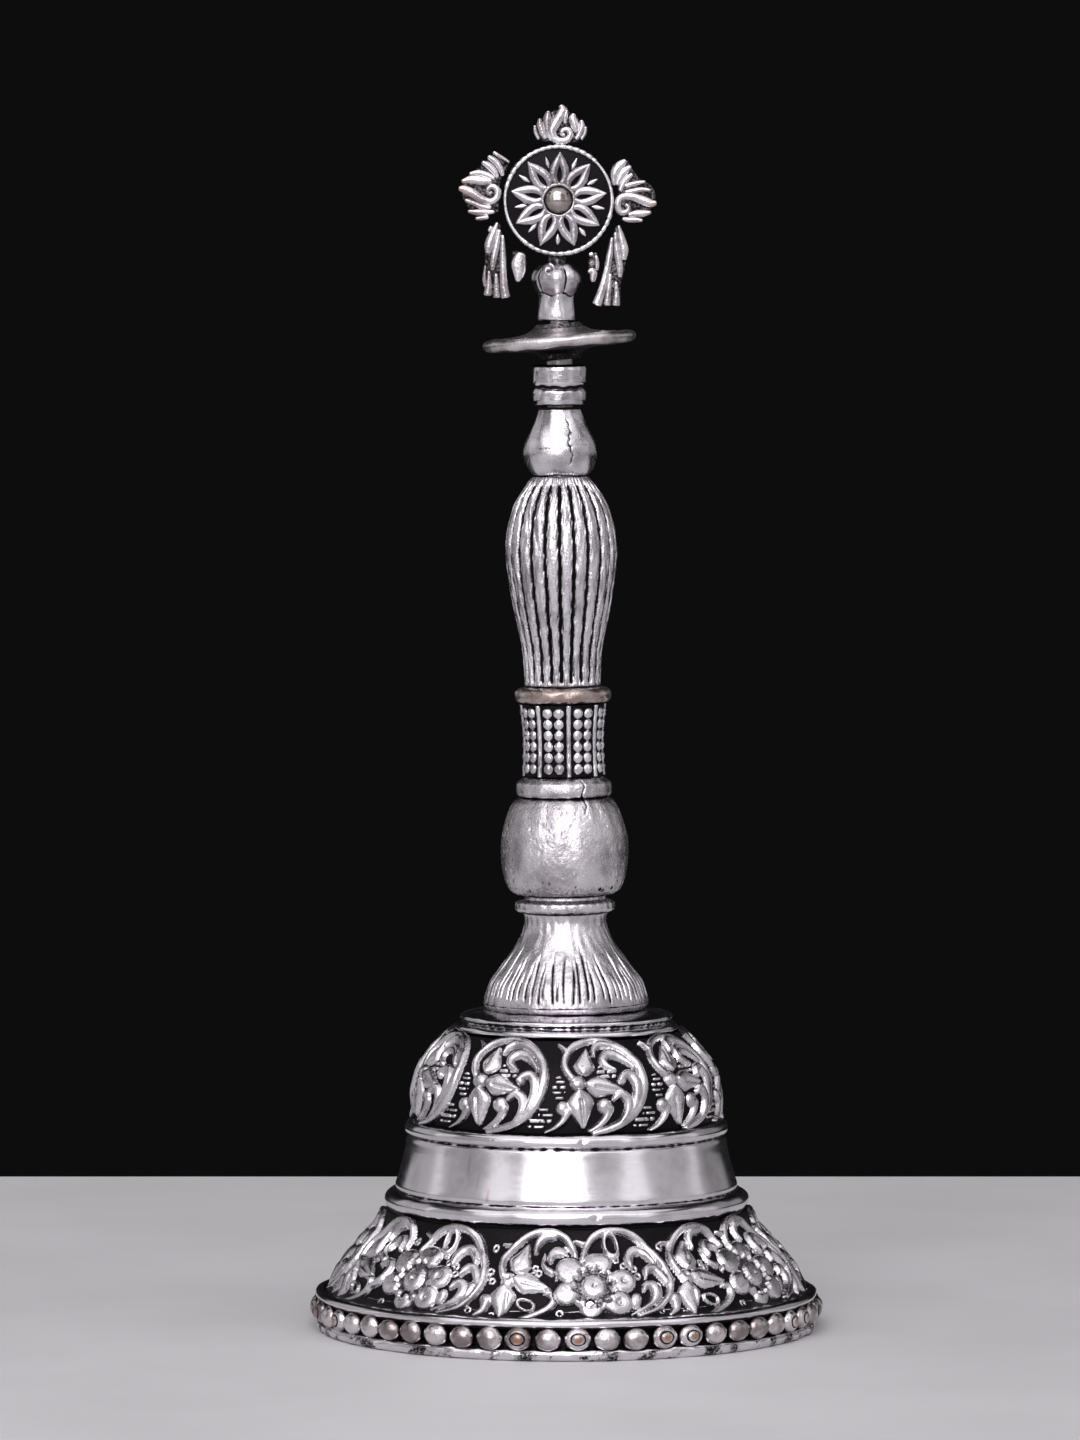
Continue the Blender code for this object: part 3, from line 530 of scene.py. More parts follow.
def cup_wall(look, top_of_cup):
    """Lip, bead channel, rings, plain band, crown and the whole inside, in one turned shell."""
    lip = [(36.4, 0.0), (38.1, 0.0), (38.7, 0.35), (38.95, 1.0), (38.7, 1.6), (38.1, 1.95)]
    channel = [(37.7, 2.3), (37.55, 3.5), (37.75, 4.7), (38.2, 5.0)]
    ridge = [(38.8, 5.1), (39.15, 5.5), (38.95, 6.0), (38.2, 6.35), (37.2, 6.5)]
    under_flare = [(36.1, 7.2), (34.4, 10.0), (31.2, 13.4), (28.9, 15.9), (27.9, 18.4)]
    lower_ring = [(27.7, 18.95), (28.15, 19.35), (28.4, 20.2), (28.2, 21.0), (27.5, 21.6), (26.8, 21.85)]
    band = [(26.45, 22.1), (26.65, 22.6), (26.1, 24.3), (25.55, 26.2), (25.1, 28.2), (24.75, 30.1),
            (24.35, 30.4)]
    upper_ring = [(24.5, 30.65), (25.0, 30.9), (25.15, 31.45), (25.0, 32.05), (24.5, 32.55), (23.9, 32.75)]
    under_dome = [(23.1, 33.0), (23.1, 35.0), (22.9, 37.4), (22.2, 40.2), (20.6, 42.6), (17.9, 45.3),
                  (16.6, 46.4)]
    crown = [(17.1, 46.7), (17.35, 47.05), (17.2, 47.45), (16.2, 48.05), (16.0, 48.35), (16.5, 48.6),
             (16.55, 48.85), (16.2, 49.1), (14.6, 49.6), (13.5, top_of_cup)]
    runs = [lip, channel, ridge, under_flare, lower_ring, band, upper_ring, under_dome, crown]
    outer = even(np.vstack([curve(run, 6) for run in runs]), 0.36)
    outer[:, 1] = np.maximum(outer[:, 1], 0.0)      # the smoothed lip stays above the table
    inside = [(2.7, top_of_cup), (2.7, 47.3), (13.4, 47.3), (17.0, 45.4), (19.6, 42.4), (21.3, 38.6),
              (21.9, 34.0), (22.0, 29.5), (22.8, 25.0), (24.4, 20.8), (27.6, 15.4), (31.2, 10.9),
              (34.2, 6.2)]
    p = np.vstack([outer, even(np.array(inside), 1.2)])
    cols = 396
    a, z = azimuths(cols)[None, :], p[:, 1:2]
    out = np.arange(len(p))[:, None] < len(outer)
    worn = ripple((len(p), cols), 0.06, 26, 8)
    flash = ripple((len(p), cols), 0.14, 90, 9) * clamp((2.0 - z) / 1.6)
    pits = sum(0.35 * np.exp(-(((a - at) * 26 / 0.35) ** 2) - ((z - high) / 0.3) ** 2)
               for at, high in RING_PITS)
    notch = -0.55 * hill(a - 0.47, 0.035) * clamp((1.7 - z) / 0.8)
    worn = np.where(out, worn * ((z < 21.9) | (z > 30.6)) + flash + notch - pits, 0)
    n = line_normals(p)
    radius, height = p[:, :1] + n[:, :1] * worn, p[:, 1:2] + n[:, 1:2] * worn * (z > 0.3)
    grooves = ((2.0, 5.0), (6.35, 7.2), (18.4, 19.5), (21.8, 22.1), (30.3, 30.65), (32.55, 35.0),
               (45.0, 46.9), (48.1, 48.55))
    raised = np.ones((len(p), cols))
    edge = ripple((len(p), cols), 0.16, 120, 12)
    for low, high in grooves:
        deep = clamp(np.minimum(z - low, high - z) / 0.22 + 0.5 + edge * 1.6)
        raised = np.minimum(raised, np.where(out, 1 - deep, raised))
    blotch = 0.5 + ripple((len(p), cols), 0.30, 60, 13) + RNG.normal(0.0, 0.10, (len(p), cols))
    raised = np.where(out & (z < 1.7), np.minimum(raised, np.clip(blotch, 0.3, 1)), raised)
    raised = np.where(out, raised, 0.55)
    streaks = clamp(ripple((len(p), cols), 1.0, 110, 14) - 1.1)
    near = hill(a - SCRATCHED[0], SCRATCHED[1]) * (z > 22.4) * (z < 30.2)
    copper = np.where(out, streaks * near, 0)
    shape = Shape().add(spun(radius, height, cols), [grid_quads(len(p), cols, True)], raised, copper)
    return build("cup_wall", shape, look, "bell", ["bell_cup"])


def cup_beads(look):
    shape = Shape()
    rows, cols = 30, 26
    polar = np.linspace(0.001, math.pi - 0.001, rows)[:, None]
    around = np.linspace(0, 2 * math.pi, cols, endpoint=False)[None, :]
    unit = np.stack([np.sin(polar) * np.cos(around), -np.cos(polar) * np.ones((1, cols)),
                     np.sin(polar) * np.sin(around)], -1).reshape(-1, 3)
    ring = np.arange(cols)
    faces = [grid_quads(rows, cols), fan(ring[::-1], rows * cols),
             fan(ring + rows * cols - cols, rows * cols + 1)]
    unit = np.vstack([unit, [[0, -1, 0], [0, 1, 0]]])
    for k in range(BEADS):
        width, depth, tall = RNG.uniform(0.94, 1.03), RNG.uniform(0.88, 0.96), RNG.uniform(0.93, 1.0)
        bead = unit * [BEAD_HALF_WIDTH * width, BEAD_HALF_DEPTH * depth, BEAD_HALF_HEIGHT * tall]
        bead = bead * (1 + 0.03 * np.sin(unit * RNG.uniform(2, 5, 3) + RNG.uniform(0, 6, 3)))
        off_axis = np.hypot(unit[:, 0], unit[:, 2]) * BEAD_HALF_WIDTH
        front = unit[:, 1] < 0
        target = float(RNG.uniform() < TARGET_SHARE)
        groove = target * front * hill(off_axis - 1.1, 0.22)
        copper = target * front * clamp((0.75 - off_axis) / 0.2)
        bead[:, 1] += 0.2 * groove
        bead = bead + [RNG.uniform(-0.06, 0.06), -BEAD_MIDDLE_R, BEAD_Z + RNG.uniform(-0.1, 0.1)]
        angle = 2 * math.pi * (k + 0.35) / BEADS
        c, s = math.cos(angle), math.sin(angle)
        bead = bead @ np.array([[c, s, 0], [-s, c, 0], [0, 0, 1]])
        out = np.hypot(bead[:, 0], bead[:, 1])
        shape.add(bead, faces, clamp((out - BEAD_MIDDLE_R) / 0.9) - groove, copper)
    return build("cup_bead_row", shape, look, "bell", ["bell_cup"])


# ---------------------------------------------------------------- handle


def handle_frame():
    """The lean of the handle, from the middles of its lowest and highest turned pieces."""
    low = sum(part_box("handle_base"), Vector()) / 2
    high = sum(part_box("collar"), Vector()) / 2
    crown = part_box("bell_cup")[1].z / MM
    lean = math.atan2(high.x - low.x, high.z - low.z)
    up = Matrix.Translation((0, 0, crown))
    return up @ Matrix.Rotation(lean, 4, "Y") @ up.inverted()


def span(node):
    low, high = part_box(node)
    return low.z / MM, high.z / MM


def on_handle(name, node, profile, cols, look, lift=None, raised=None):
    shape = turned(profile, cols, lift, raised, HANDLE_BORE_R)
    return build(name, shape, look, "bell", [node], HANDLE)


def line_of(points, step):
    return even(curve(points, 10), step)


def skirt(look):
    foot, top = span("handle_base")
    body = [(12.3, foot), (12.8, 50.6), (12.8, 51.3), (12.45, 52.6), (11.9, 54.2), (10.6, 56.0),
            (9.2, 57.9), (7.8, 59.8), (6.9, 61.6), (6.4, 63.4), (6.5, 64.7), (6.9, 65.0)]
    cord = [(7.2, 65.1), (7.7, 65.4), (7.78, 66.0), (7.6, 66.6), (6.9, 66.85), (6.35, 67.0), (6.3, top)]
    p = np.vstack([line_of(body, 0.22), line_of(cord, 0.2)])
    cols = 720
    a, z = azimuths(cols)[None, :], p[:, 1:2]
    lift = np.zeros((len(p), cols))
    depth_of = np.zeros((len(p), cols))
    for k in range(SKIRT_CUTS):
        at = 2 * math.pi * (k + RNG.uniform(-0.22, 0.22)) / SKIRT_CUTS
        low, high = RNG.uniform(51.2, 52.2), RNG.uniform(55.5, 59.0) if k % 3 else RNG.uniform(58.0, 61.5)
        sway = RNG.uniform(-0.03, 0.03) * np.sin((z - 51) / 3.0 + RNG.uniform(0, 6))
        off = round_off(a - at - sway)
        width = 0.16 * RNG.uniform(0.8, 1.25)
        cut = hill(off * p[:, :1], width) * clamp((z - low) / 0.6) * clamp((high - z) / 2.5)
        depth_of = np.maximum(depth_of, cut * RNG.uniform(0.75, 1.0))
    lumps = ripple(lift.shape, 0.07, 34, 21)
    lift = -0.35 * depth_of + 0.6 * lumps
    groove = hill(z - 65.0, 0.28) + 0.8 * hill(z - 50.9, 0.16)
    raised = clamp(1 - 1.25 * depth_of - groove + 2.0 * lumps)
    return on_handle("handle_skirt", "handle_base", p, cols, look, lift, raised)


def ball(look):
    body = [(7.6, 67.85), (8.6, 68.5), (9.25, 69.8), (9.7, 71.8), (9.9, 74.0), (9.8, 76.6), (9.2, 79.2),
            (8.5, 81.1), (7.6, 82.4), (6.6, 82.9)]
    ring = [(6.5, 82.95), (7.0, 83.1), (7.4, 83.6), (7.45, 84.3), (7.3, 85.1), (6.7, 85.6), (6.0, 86.0)]
    p = np.vstack([line_of(body, 0.25), line_of(ring, 0.2)])
    cols = 400
    a, z = azimuths(cols)[None, :], p[:, 1:2]
    crack = hill((a - 0.42 + 0.03 * np.sin(z * 2.2)) * p[:, :1], 0.14) * (z > 80.6) * (z < 85.6)
    groove = hill(z - 82.95, 0.22)
    lumps = ripple((len(p), cols), 0.05, 22, 31)
    pits = np.zeros((len(p), cols))
    for _ in range(BALL_PITS):
        at, high, size = RNG.uniform(-math.pi, math.pi), RNG.uniform(68.5, 82.0), RNG.uniform(0.10, 0.22)
        off = round_off(a - at)
        pits = np.maximum(pits, np.exp(-(((off * p[:, :1]) / size) ** 2) - ((z - high) / size) ** 2))
    # The lower part of the ball is darkened towards its foot: painted shade under the ball's bulge. The pits,
    # crack and groove are dark patina.
    shade_under_ball = 0.55 * clamp((72.0 - z) / 3.0)
    raised = clamp(1 - crack - groove - 0.5 * pits - shade_under_ball)
    return on_handle("ball_and_ring", "ball_knop", p, cols, look, lumps - 0.3 * crack - 0.2 * pits, raised)


def sleeve(look):
    """Eight panels, each two columns of round beads between thin upright bars."""
    foot, top = span("beaded_sleeve")
    core = [(6.0, foot), (5.85, 88.6), (5.8, 91.8), (6.0, 94.8), (6.3, top)]
    p = even(curve(core, 12), 0.14)
    cols = 640
    a, z = azimuths(cols)[None, :], p[:, 1:2]
    turn = (a - SLEEVE_FIRST) / (2 * math.pi) * SLEEVE_PANELS
    panel = (turn + 0.5) % 1.0 - 0.5
    arc = panel * 2 * math.pi / SLEEVE_PANELS * SLEEVE_RULER_R
    half = math.pi * SLEEVE_RULER_R / SLEEVE_PANELS
    bar = clamp(1 - (np.abs(arc) / 0.42) ** 2) ** 0.5 * 0.5
    row = (z - foot - 0.4) / (top - foot - 0.8) * SLEEVE_ROWS
    row_off = np.abs((row % 1.0) - 0.5) * (top - foot - 0.8) / SLEEVE_ROWS
    column_off = np.abs(np.abs(arc) - half + 0.9)
    dome = clamp(1 - (np.hypot(column_off, row_off) / 0.88) ** 2) ** 0.6
    lift = np.maximum(bar, 0.6 * dome * (row > 0) * (row < SLEEVE_ROWS))
    lift = lift + ripple(lift.shape, 0.03, 50, 41)
    raised = clamp((lift - 0.12) / 0.25)
    return on_handle("beaded_sleeve_panels", "beaded_sleeve", p, cols, look, lift, raised)


def small_ring(look):
    p = line_of([(6.1, 97.6), (6.9, 97.75), (7.4, 98.2), (7.5, 98.8), (7.35, 99.4), (6.8, 99.85),
                 (6.1, 100.0)], 0.15)
    lumps = ripple((len(p), 300), 0.05, 20, 51)
    return on_handle("sleeve_top_ring", "sleeve_ring", p, 300, look, lumps)


def grip(look):
    core = [(5.9, 100.3), (6.0, 102.5), (6.2, 105.7), (6.95, 109.5), (7.7, 113.2), (8.3, 117.0),
            (8.65, 121.0), (8.3, 124.6), (7.25, 128.3), (5.5, 131.2), (4.3, 132.6)]
    p = even(curve(core, 12), 0.3)
    cols = GRIP_RIBS * 28
    a, z = azimuths(cols)[None, :], p[:, 1:2]
    phase = (a * GRIP_RIBS / (2 * math.pi) + 0.12 + 0.05 * np.sin(3 * a)) % 1.0 - 0.5
    fade = clamp((z - 100.5) / 0.5) * clamp((132.1 - z) / 0.8)
    from_groove = (0.5 - np.abs(phase)) * 2 * math.pi * p[:, :1] / GRIP_RIBS
    ragged = 1 + ripple((len(p), cols), 0.28, 130, 62)
    groove = hill(from_groove, 0.36 * ragged) * fade
    crown = 0.12 * clamp(from_groove / 0.9) ** 0.7 - 0.12
    lift = crown * fade - 0.5 * groove + ripple((len(p), cols), 0.045, 60, 61)
    raised = clamp(1 - 1.2 * groove)
    return on_handle("grip_flutes", "fluted_grip", p, cols, look, lift, raised)


def pear(look):
    core = [(4.05, 132.9), (4.5, 133.2), (5.05, 134.0), (5.55, 135.3), (5.7, 136.4), (5.4, 138.0),
            (4.7, 139.5), (3.95, 141.1), (3.4, 142.6), (3.2, 143.1), (3.4, 143.4)]
    p = even(curve(core, 12), 0.2)
    cols = 300
    a, z = azimuths(cols)[None, :], p[:, 1:2]
    path = 0.30 + 0.05 * np.sin(z * 1.4) + 0.02 * np.sin(z * 5)
    crack = hill((a - path) * p[:, :1], 0.13) * (z > 134.4) * (z < 141.6)
    low_line = hill(z - 137.3 - 0.3 * np.sin(2 * a), 0.12) * (np.abs(a - 0.1) < 0.8)
    lumps = ripple((len(p), cols), 0.07, 14, 71)
    hatch = (np.sin(z * 9 + a * 22) > 0.8) * (a > -0.75) * (a < -0.15) * (z > 135.0) * (z < 138.5)
    raised = clamp(1 - crack - 0.75 * low_line - 0.9 * (z > 142.9) - 0.45 * hatch - 0.4 * (z < 134.2))
    return on_handle("pear_body", "pear_knop", p, cols, look, lumps - 0.25 * crack - 0.1 * low_line, raised)


def collar_piece(look):
    core = [(3.8, 143.7), (4.1, 143.9), (4.25, 144.4), (4.25, 145.7), (4.05, 146.2), (3.85, 146.5),
            (4.0, 146.8), (4.2, 147.1), (4.25, 149.2), (4.15, 149.7), (3.8, 150.0)]
    p = even(np.array(core), 0.12)
    cols = 300
    a, z = azimuths(cols)[None, :], p[:, 1:2]
    groove = hill(z - 146.5 + 0.12 * np.sin(3 * a + 1) + 0.06 * np.sin(11 * a), 0.26)
    raised = clamp(1 - 1.3 * groove - (z > 149.75) - (z < 143.85))
    lumps = ripple((len(p), cols), 0.035, 12, 81)
    return on_handle("collar_band", "collar", p, cols, look, lumps - 0.12 * groove, raised)


def disc_frame():
    """The saucer's place and tilt, read from the widest ring of its CAD points."""
    points = np.array([v.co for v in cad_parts["finial_disc"].data.vertices]) / MM
    left, right = points[points[:, 0].argmin()], points[points[:, 0].argmax()]
    middle = (left + right) / 2
    tilt = math.atan2(-(right[2] - left[2]), right[0] - left[0])
    return Matrix.Translation((middle[0], 0, middle[2])) @ Matrix.Rotation(tilt, 4, "Y")


def disc(look):
    core = [(3.3, -2.85), (3.45, -2.2), (3.7, -1.75), (5.0, -1.3), (8.0, -1.1), (10.6, -0.95),
            (11.6, -0.6), (11.95, 0.0), (11.8, 0.5), (11.2, 0.85), (10.0, 0.95), (9.35, 0.75), (9.0, 0.95),
            (7.0, 1.15), (5.2, 1.5), (4.2, 2.0), (3.6, 2.5), (3.35, 2.8)]
    p = even(curve(core, 6), 0.14)
    cols = 420
    a = azimuths(cols)[None, :]
    r, z = p[:, :1], p[:, 1:2]
    lumps = ripple((len(p), cols), 0.09, 16, 91) * np.clip((r - 5) / 4, 0.2, 1)
    line = hill(r - 9.35 + 0.12 * np.sin(4 * a), 0.28) * (z > 0.2)
    # The whole underside (z below -0.9) is darkened: painted shade under the saucer. The groove and the ring
    # round the stem's foot are dark patina.
    raised = clamp(1 - 1.2 * line - 0.7 * (r < 4.2) * (z > 0) - 0.8 * (z < -0.9))
    shape = turned(p, cols, lumps - 0.14 * line, raised, 2.9)
    for angle, radius, size in ((-0.5, 10.6, 0.3), (0.75, 9.9, 0.55), (0.1, 7.6, 0.22), (-1.2, 9.9, 0.25),
                                (2.4, 9.0, 0.4)):
        x, y = radius * math.sin(angle), -radius * math.cos(angle)
        knob = [(size * math.cos(t), 0.75 + size * 0.8 * math.sin(t)) for t in np.linspace(-1.4, 1.4, 9)]
        lump = turned(knob, 16)
        shape.add(lump.points[0] + [x, y, 0], lump.faces)
    return build("saucer", shape, look, "bell", ["finial_disc"], DISC)


# ---------------------------------------------------------------- finial


def wheel_frame():
    """The wheel's centre from its rivet, and its roll from the two side flames."""
    centre = sum(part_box("hub_rivet"), Vector()) / 2 / MM
    left = sum(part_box("flame_left"), Vector()) / 2
    right = sum(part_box("flame_right"), Vector()) / 2
    roll = math.atan2(left.z - right.z, right.x - left.x)
    return Matrix.Translation(centre) @ Matrix.Rotation(roll, 4, "Y")


def on_wheel(name, node, shape, look):
    return build(name, shape, look, "bell", [node], WHEEL)


def both_faces(shape, points, reach, depth=1.1, gain=1.0, copper=0.0):
    """A strand of (x, z, width) rows near the front of a flame, ribbon or leaf, and again near its back."""
    rows = curve([(x, z, gain * width) for x, z, width in points], 6)
    depths = np.clip(rows[:, 2] * 1.1, 0.25, depth)
    for side in (-1, 1):
        y = side * (reach - depths / 2)
        strand(np.stack([rows[:, 0], y, rows[:, 1], rows[:, 2], depths], -1), 10, shape, copper=copper)


def slab(outline, half):
    """A plate with a rounded edge between its two faces, drawn as its outline's own fan."""
    o = np.asarray(outline, float)
    o = curve(np.vstack([o, o[:1]]), 3)[:-1]
    middle = o.mean(0)
    rings = []
    for y, inset in ((-half, 0.90), (-half * 0.6, 0.985), (half * 0.6, 0.985), (half, 0.90)):
        xz = middle + (o - middle) * inset
        rings.append(np.stack([xz[:, 0], np.full(len(o), y), xz[:, 1]], -1))
    points = np.vstack(rings + [[[middle[0], -half, middle[1]], [middle[0], half, middle[1]]]])
    count, ring = 4 * len(o), np.arange(len(o))
    faces = [grid_quads(4, len(o)), fan(ring[::-1], count), fan(ring + 3 * len(o), count + 1)]
    return Shape().add(points, faces, SLAB_RAISED)


def flame(node, look, outline, strokes):
    """A slab with tongues standing up on both faces, worn to copper at the far tips."""
    shape = slab(outline, 0.7)
    for stroke in strokes:
        both_faces(shape, stroke, FLAME_HALF_DEPTH, gain=TONGUE_GAIN, copper=0.7)
    on_wheel(node + "_tongues", node, shape, look)


def ribbon(node, look, outline, half, strokes):
    """A thin slab with hanging pleats on both faces."""
    shape = slab(outline, half)
    for stroke in strokes:
        both_faces(shape, stroke, 0.9, 0.9, TONGUE_GAIN)
    on_wheel(node + "_pleats", node, shape, look)


def flame_top(look):
    outline = [(-2.6, 8.9), (-3.9, 10.6), (-3.2, 12.2), (-1.8, 13.5), (0.0, 14.1), (1.9, 13.4),
               (3.2, 12.2), (3.8, 10.6), (2.6, 8.9), (0.0, 9.05)]
    strokes = [
        [(-3.95, 11.4, 0.25), (-3.8, 10.4, 0.4), (-3.3, 9.4, 0.3)],
        [(-3.2, 12.5, 0.35), (-3.1, 11.5, 0.75), (-2.7, 10.4, 0.75), (-2.2, 9.5, 0.5)],
        [(-1.9, 13.7, 0.4), (-2.0, 12.6, 0.9), (-2.0, 11.4, 0.9), (-1.8, 10.2, 0.7), (-1.3, 9.3, 0.5)],
        [(0.0, 14.65, 0.5), (0.35, 13.9, 1.0), (-0.1, 12.9, 1.1), (-0.9, 11.6, 1.05), (-1.25, 10.5, 0.95),
         (-0.8, 9.5, 0.85), (0.2, 9.15, 0.8), (1.2, 9.45, 0.75), (1.6, 10.3, 0.7), (1.1, 11.0, 0.6),
         (0.4, 10.8, 0.5),
         (0.3, 10.25, 0.4), (0.7, 10.1, 0.35)],
        [(0.95, 13.9, 0.3), (0.75, 12.9, 0.5), (0.75, 11.9, 0.4)],
        [(2.0, 13.4, 0.4), (1.9, 12.6, 0.95), (2.3, 11.5, 0.9), (2.5, 10.6, 0.5)],
        [(3.25, 12.4, 0.35), (3.35, 11.4, 0.7), (3.0, 10.4, 0.6), (2.5, 9.5, 0.4)],
        [(3.95, 11.4, 0.25), (3.8, 10.4, 0.4), (3.3, 9.5, 0.3)],
    ]
    flame("flame_top", look, outline, strokes)


def flame_left(look):
    outline = [(-9.2, -2.2), (-9.1, 0.6), (-8.9, 3.0), (-7.9, 5.4), (-9.9, 6.9), (-11.4, 5.7),
               (-13.4, 4.1), (-14.8, 2.6), (-15.1, 0.8), (-14.2, -1.2), (-12.4, -2.7)]
    strokes = [
        [(-15.4, 1.5, 0.5), (-14.6, 1.4, 0.9), (-13.2, 0.75, 1.0), (-11.8, -0.1, 0.9), (-10.4, -0.4, 0.8),
         (-9.55, 0.3, 0.8), (-9.5, 1.4, 0.75), (-10.3, 1.95, 0.65), (-11.0, 1.4, 0.5), (-10.75, 0.75, 0.4),
         (-10.35, 1.05, 0.35)],
        [(-15.0, 2.6, 0.4), (-13.6, 2.9, 0.95), (-11.9, 2.7, 1.0), (-10.4, 2.7, 0.5)],
        [(-13.8, 3.8, 0.35), (-12.4, 4.0, 0.65), (-11.0, 3.6, 0.6), (-10.0, 3.1, 0.35)],
        [(-11.9, 5.6, 0.5), (-10.9, 5.1, 0.75), (-10.0, 4.2, 0.7), (-9.5, 3.3, 0.4)],
        [(-11.0, 6.5, 0.5), (-9.9, 5.8, 0.75), (-9.1, 4.8, 0.7), (-8.75, 3.6, 0.4)],
        [(-10.2, 7.2, 0.35), (-9.1, 6.5, 0.45), (-8.3, 6.05, 0.35), (-7.8, 5.7, 0.3)],
        [(-14.4, -0.25, 0.35), (-13.0, -0.8, 0.6), (-11.6, -1.3, 0.6), (-10.4, -1.3, 0.35)],
        [(-13.9, -2.0, 0.35), (-12.6, -2.1, 0.7), (-11.2, -2.1, 0.65), (-9.9, -2.0, 0.35)],
        [(-12.7, -3.1, 0.3), (-11.8, -3.0, 0.5), (-10.8, -2.8, 0.4)],
    ]
    flame("flame_left", look, outline, strokes)


def flame_right(look):
    outline = [(9.2, -2.2), (9.1, 0.6), (8.9, 3.0), (7.9, 5.3), (10.1, 6.7), (11.2, 5.3), (12.6, 3.7),
               (14.4, 2.6), (15.1, 0.6), (14.2, -1.2), (12.4, -2.6)]
    strokes = [
        [(10.2, 6.4, 0.5), (9.4, 5.6, 1.0), (8.7, 4.6, 0.95), (8.5, 3.4, 0.6), (8.6, 2.6, 0.4)],
        [(11.0, 5.5, 0.4), (10.1, 4.7, 0.9), (9.4, 3.7, 0.8), (9.0, 2.6, 0.5)],
        [(11.3, 4.3, 0.4), (10.4, 3.5, 0.7), (9.8, 2.6, 0.65), (9.5, 1.7, 0.4)],
        [(13.3, 3.2, 0.3), (12.2, 3.0, 0.5), (11.0, 2.7, 0.5), (10.3, 2.4, 0.3)],
        [(14.2, 1.9, 0.3), (12.8, 2.0, 0.6), (11.4, 1.7, 0.6), (10.3, 1.5, 0.4)],
        [(15.1, 0.0, 0.5), (14.2, -0.1, 0.9), (12.9, 0.4, 1.0), (11.6, 0.8, 0.95), (10.3, 0.9, 0.8),
         (9.4, 0.45, 0.75), (9.2, -0.7, 0.75), (9.7, -1.6, 0.7), (10.6, -1.5, 0.6), (10.9, -0.8, 0.5),
         (10.4, -0.4, 0.4)],
        [(14.3, -1.5, 0.35), (13.0, -1.7, 0.8), (11.7, -1.8, 0.75), (10.9, -2.0, 0.35)],
        [(13.0, -2.8, 0.3), (12.0, -2.7, 0.6), (10.9, -2.7, 0.6), (10.0, -2.6, 0.35)],
    ]
    flame("flame_right", look, outline, strokes)


def ribbon_left(look):
    outline = [(-9.0, -3.6), (-9.8, -4.2), (-11.0, -7.2), (-11.2, -10.5), (-11.0, -14.5), (-7.6, -14.9),
               (-7.9, -10.5), (-8.3, -6.4)]
    strokes = [
        [(-9.4, -3.7, 0.3), (-9.9, -5.2, 0.8), (-10.5, -7.0, 1.0), (-10.7, -8.4, 0.6)],
        [(-9.0, -4.8, 0.3), (-9.4, -7.0, 0.65), (-9.8, -9.2, 0.7), (-10.0, -11.0, 0.5)],
        [(-8.5, -5.6, 0.3), (-8.4, -8.5, 0.65), (-8.3, -11.4, 0.75), (-8.1, -13.8, 0.9),
         (-7.8, -15.2, 0.95)],
        [(-9.4, -11.6, 0.3), (-9.3, -13.6, 0.6), (-9.2, -15.2, 0.8)],
        [(-10.5, -11.2, 0.3), (-10.5, -13.2, 0.65), (-10.6, -14.9, 0.85)],
        [(-11.1, -10.4, 0.2), (-11.2, -12.6, 0.4), (-11.0, -13.6, 0.3)],
        [(-10.3, -4.3, 0.4), (-10.6, -5.0, 0.35)],
    ]
    ribbon("ribbon_left", look, outline, 0.5, strokes)


def ribbon_right(look):
    outline = [(9.0, -3.6), (9.7, -4.2), (10.7, -8.3), (10.4, -11.0), (9.9, -13.0), (9.7, -15.8),
               (5.8, -16.0), (6.9, -13.0), (7.5, -10.0), (8.1, -6.4)]
    strokes = [
        [(9.4, -3.7, 0.3), (9.8, -5.4, 0.75), (10.3, -7.4, 0.95), (10.3, -8.9, 0.6)],
        [(8.9, -4.8, 0.3), (9.2, -7.4, 0.65), (9.7, -10.0, 0.75), (9.8, -11.6, 0.5)],
        [(8.4, -5.6, 0.3), (8.1, -8.6, 0.7), (7.6, -11.6, 0.8), (6.9, -14.2, 0.9), (6.3, -16.0, 1.0)],
        [(8.3, -11.2, 0.3), (8.1, -13.6, 0.6), (7.9, -16.0, 0.75)],
        [(9.2, -12.4, 0.3), (9.3, -14.2, 0.6), (9.3, -16.0, 0.85)],
        [(7.6, -10.0, 0.2), (7.1, -12.4, 0.4), (6.5, -14.0, 0.3)],
    ]
    ribbon("ribbon_right", look, outline, 0.35, strokes)


def scroll_left(look):
    shape = slab([(-5.0, -8.1), (-6.8, -7.9), (-7.1, -9.4), (-6.9, -11.5), (-6.1, -12.9), (-5.2, -12.2),
                  (-4.8, -10.2)], 0.35)
    both_faces(shape, [(-5.5, -8.3, 1.3), (-5.9, -9.6, 2.3), (-5.9, -11.0, 2.1), (-6.0, -12.6, 0.8)], 0.6,
               0.55)
    both_faces(shape, [(-5.1, -9.6, 0.3), (-5.0, -10.8, 0.4), (-5.3, -12.0, 0.3)], 0.6, 0.5)
    on_wheel("scroll_left_leaf", "scroll_left", shape, look)


def scroll_right(look):
    shape = slab([(5.0, -8.1), (6.2, -7.9), (6.4, -9.4), (6.0, -11.5), (5.6, -12.6), (5.1, -12.0),
                  (4.8, -10.2)], 0.3)
    for depth, stroke in (
        (0.5, [(5.0, -8.3, 0.5), (5.5, -8.1, 0.5)]),
        (0.5, [(6.0, -8.4, 0.35), (6.2, -9.6, 0.5), (6.2, -10.6, 0.35)]),
        (0.55, [(5.3, -9.4, 0.7), (5.5, -9.9, 0.6)]),
        (0.55, [(4.9, -11.0, 0.4), (5.4, -10.7, 0.7), (5.7, -11.2, 0.8), (5.6, -12.4, 0.6)]),
    ):
        both_faces(shape, stroke, 0.6, depth, LEAF_SCROLL_GAIN)
    on_wheel("scroll_right_leaf", "scroll_right", shape, look)


def facing(profile, cols):
    """A turned shape laid on its side, so that its axis runs along Y and its top faces -Y."""
    shape = turned(profile, cols)
    turn = np.array([[1, 0, 0], [0, 0, -1], [0, 1, 0]], float)
    return Shape().add(shape.points[0] @ turn.T, shape.faces, shape.raised[0])


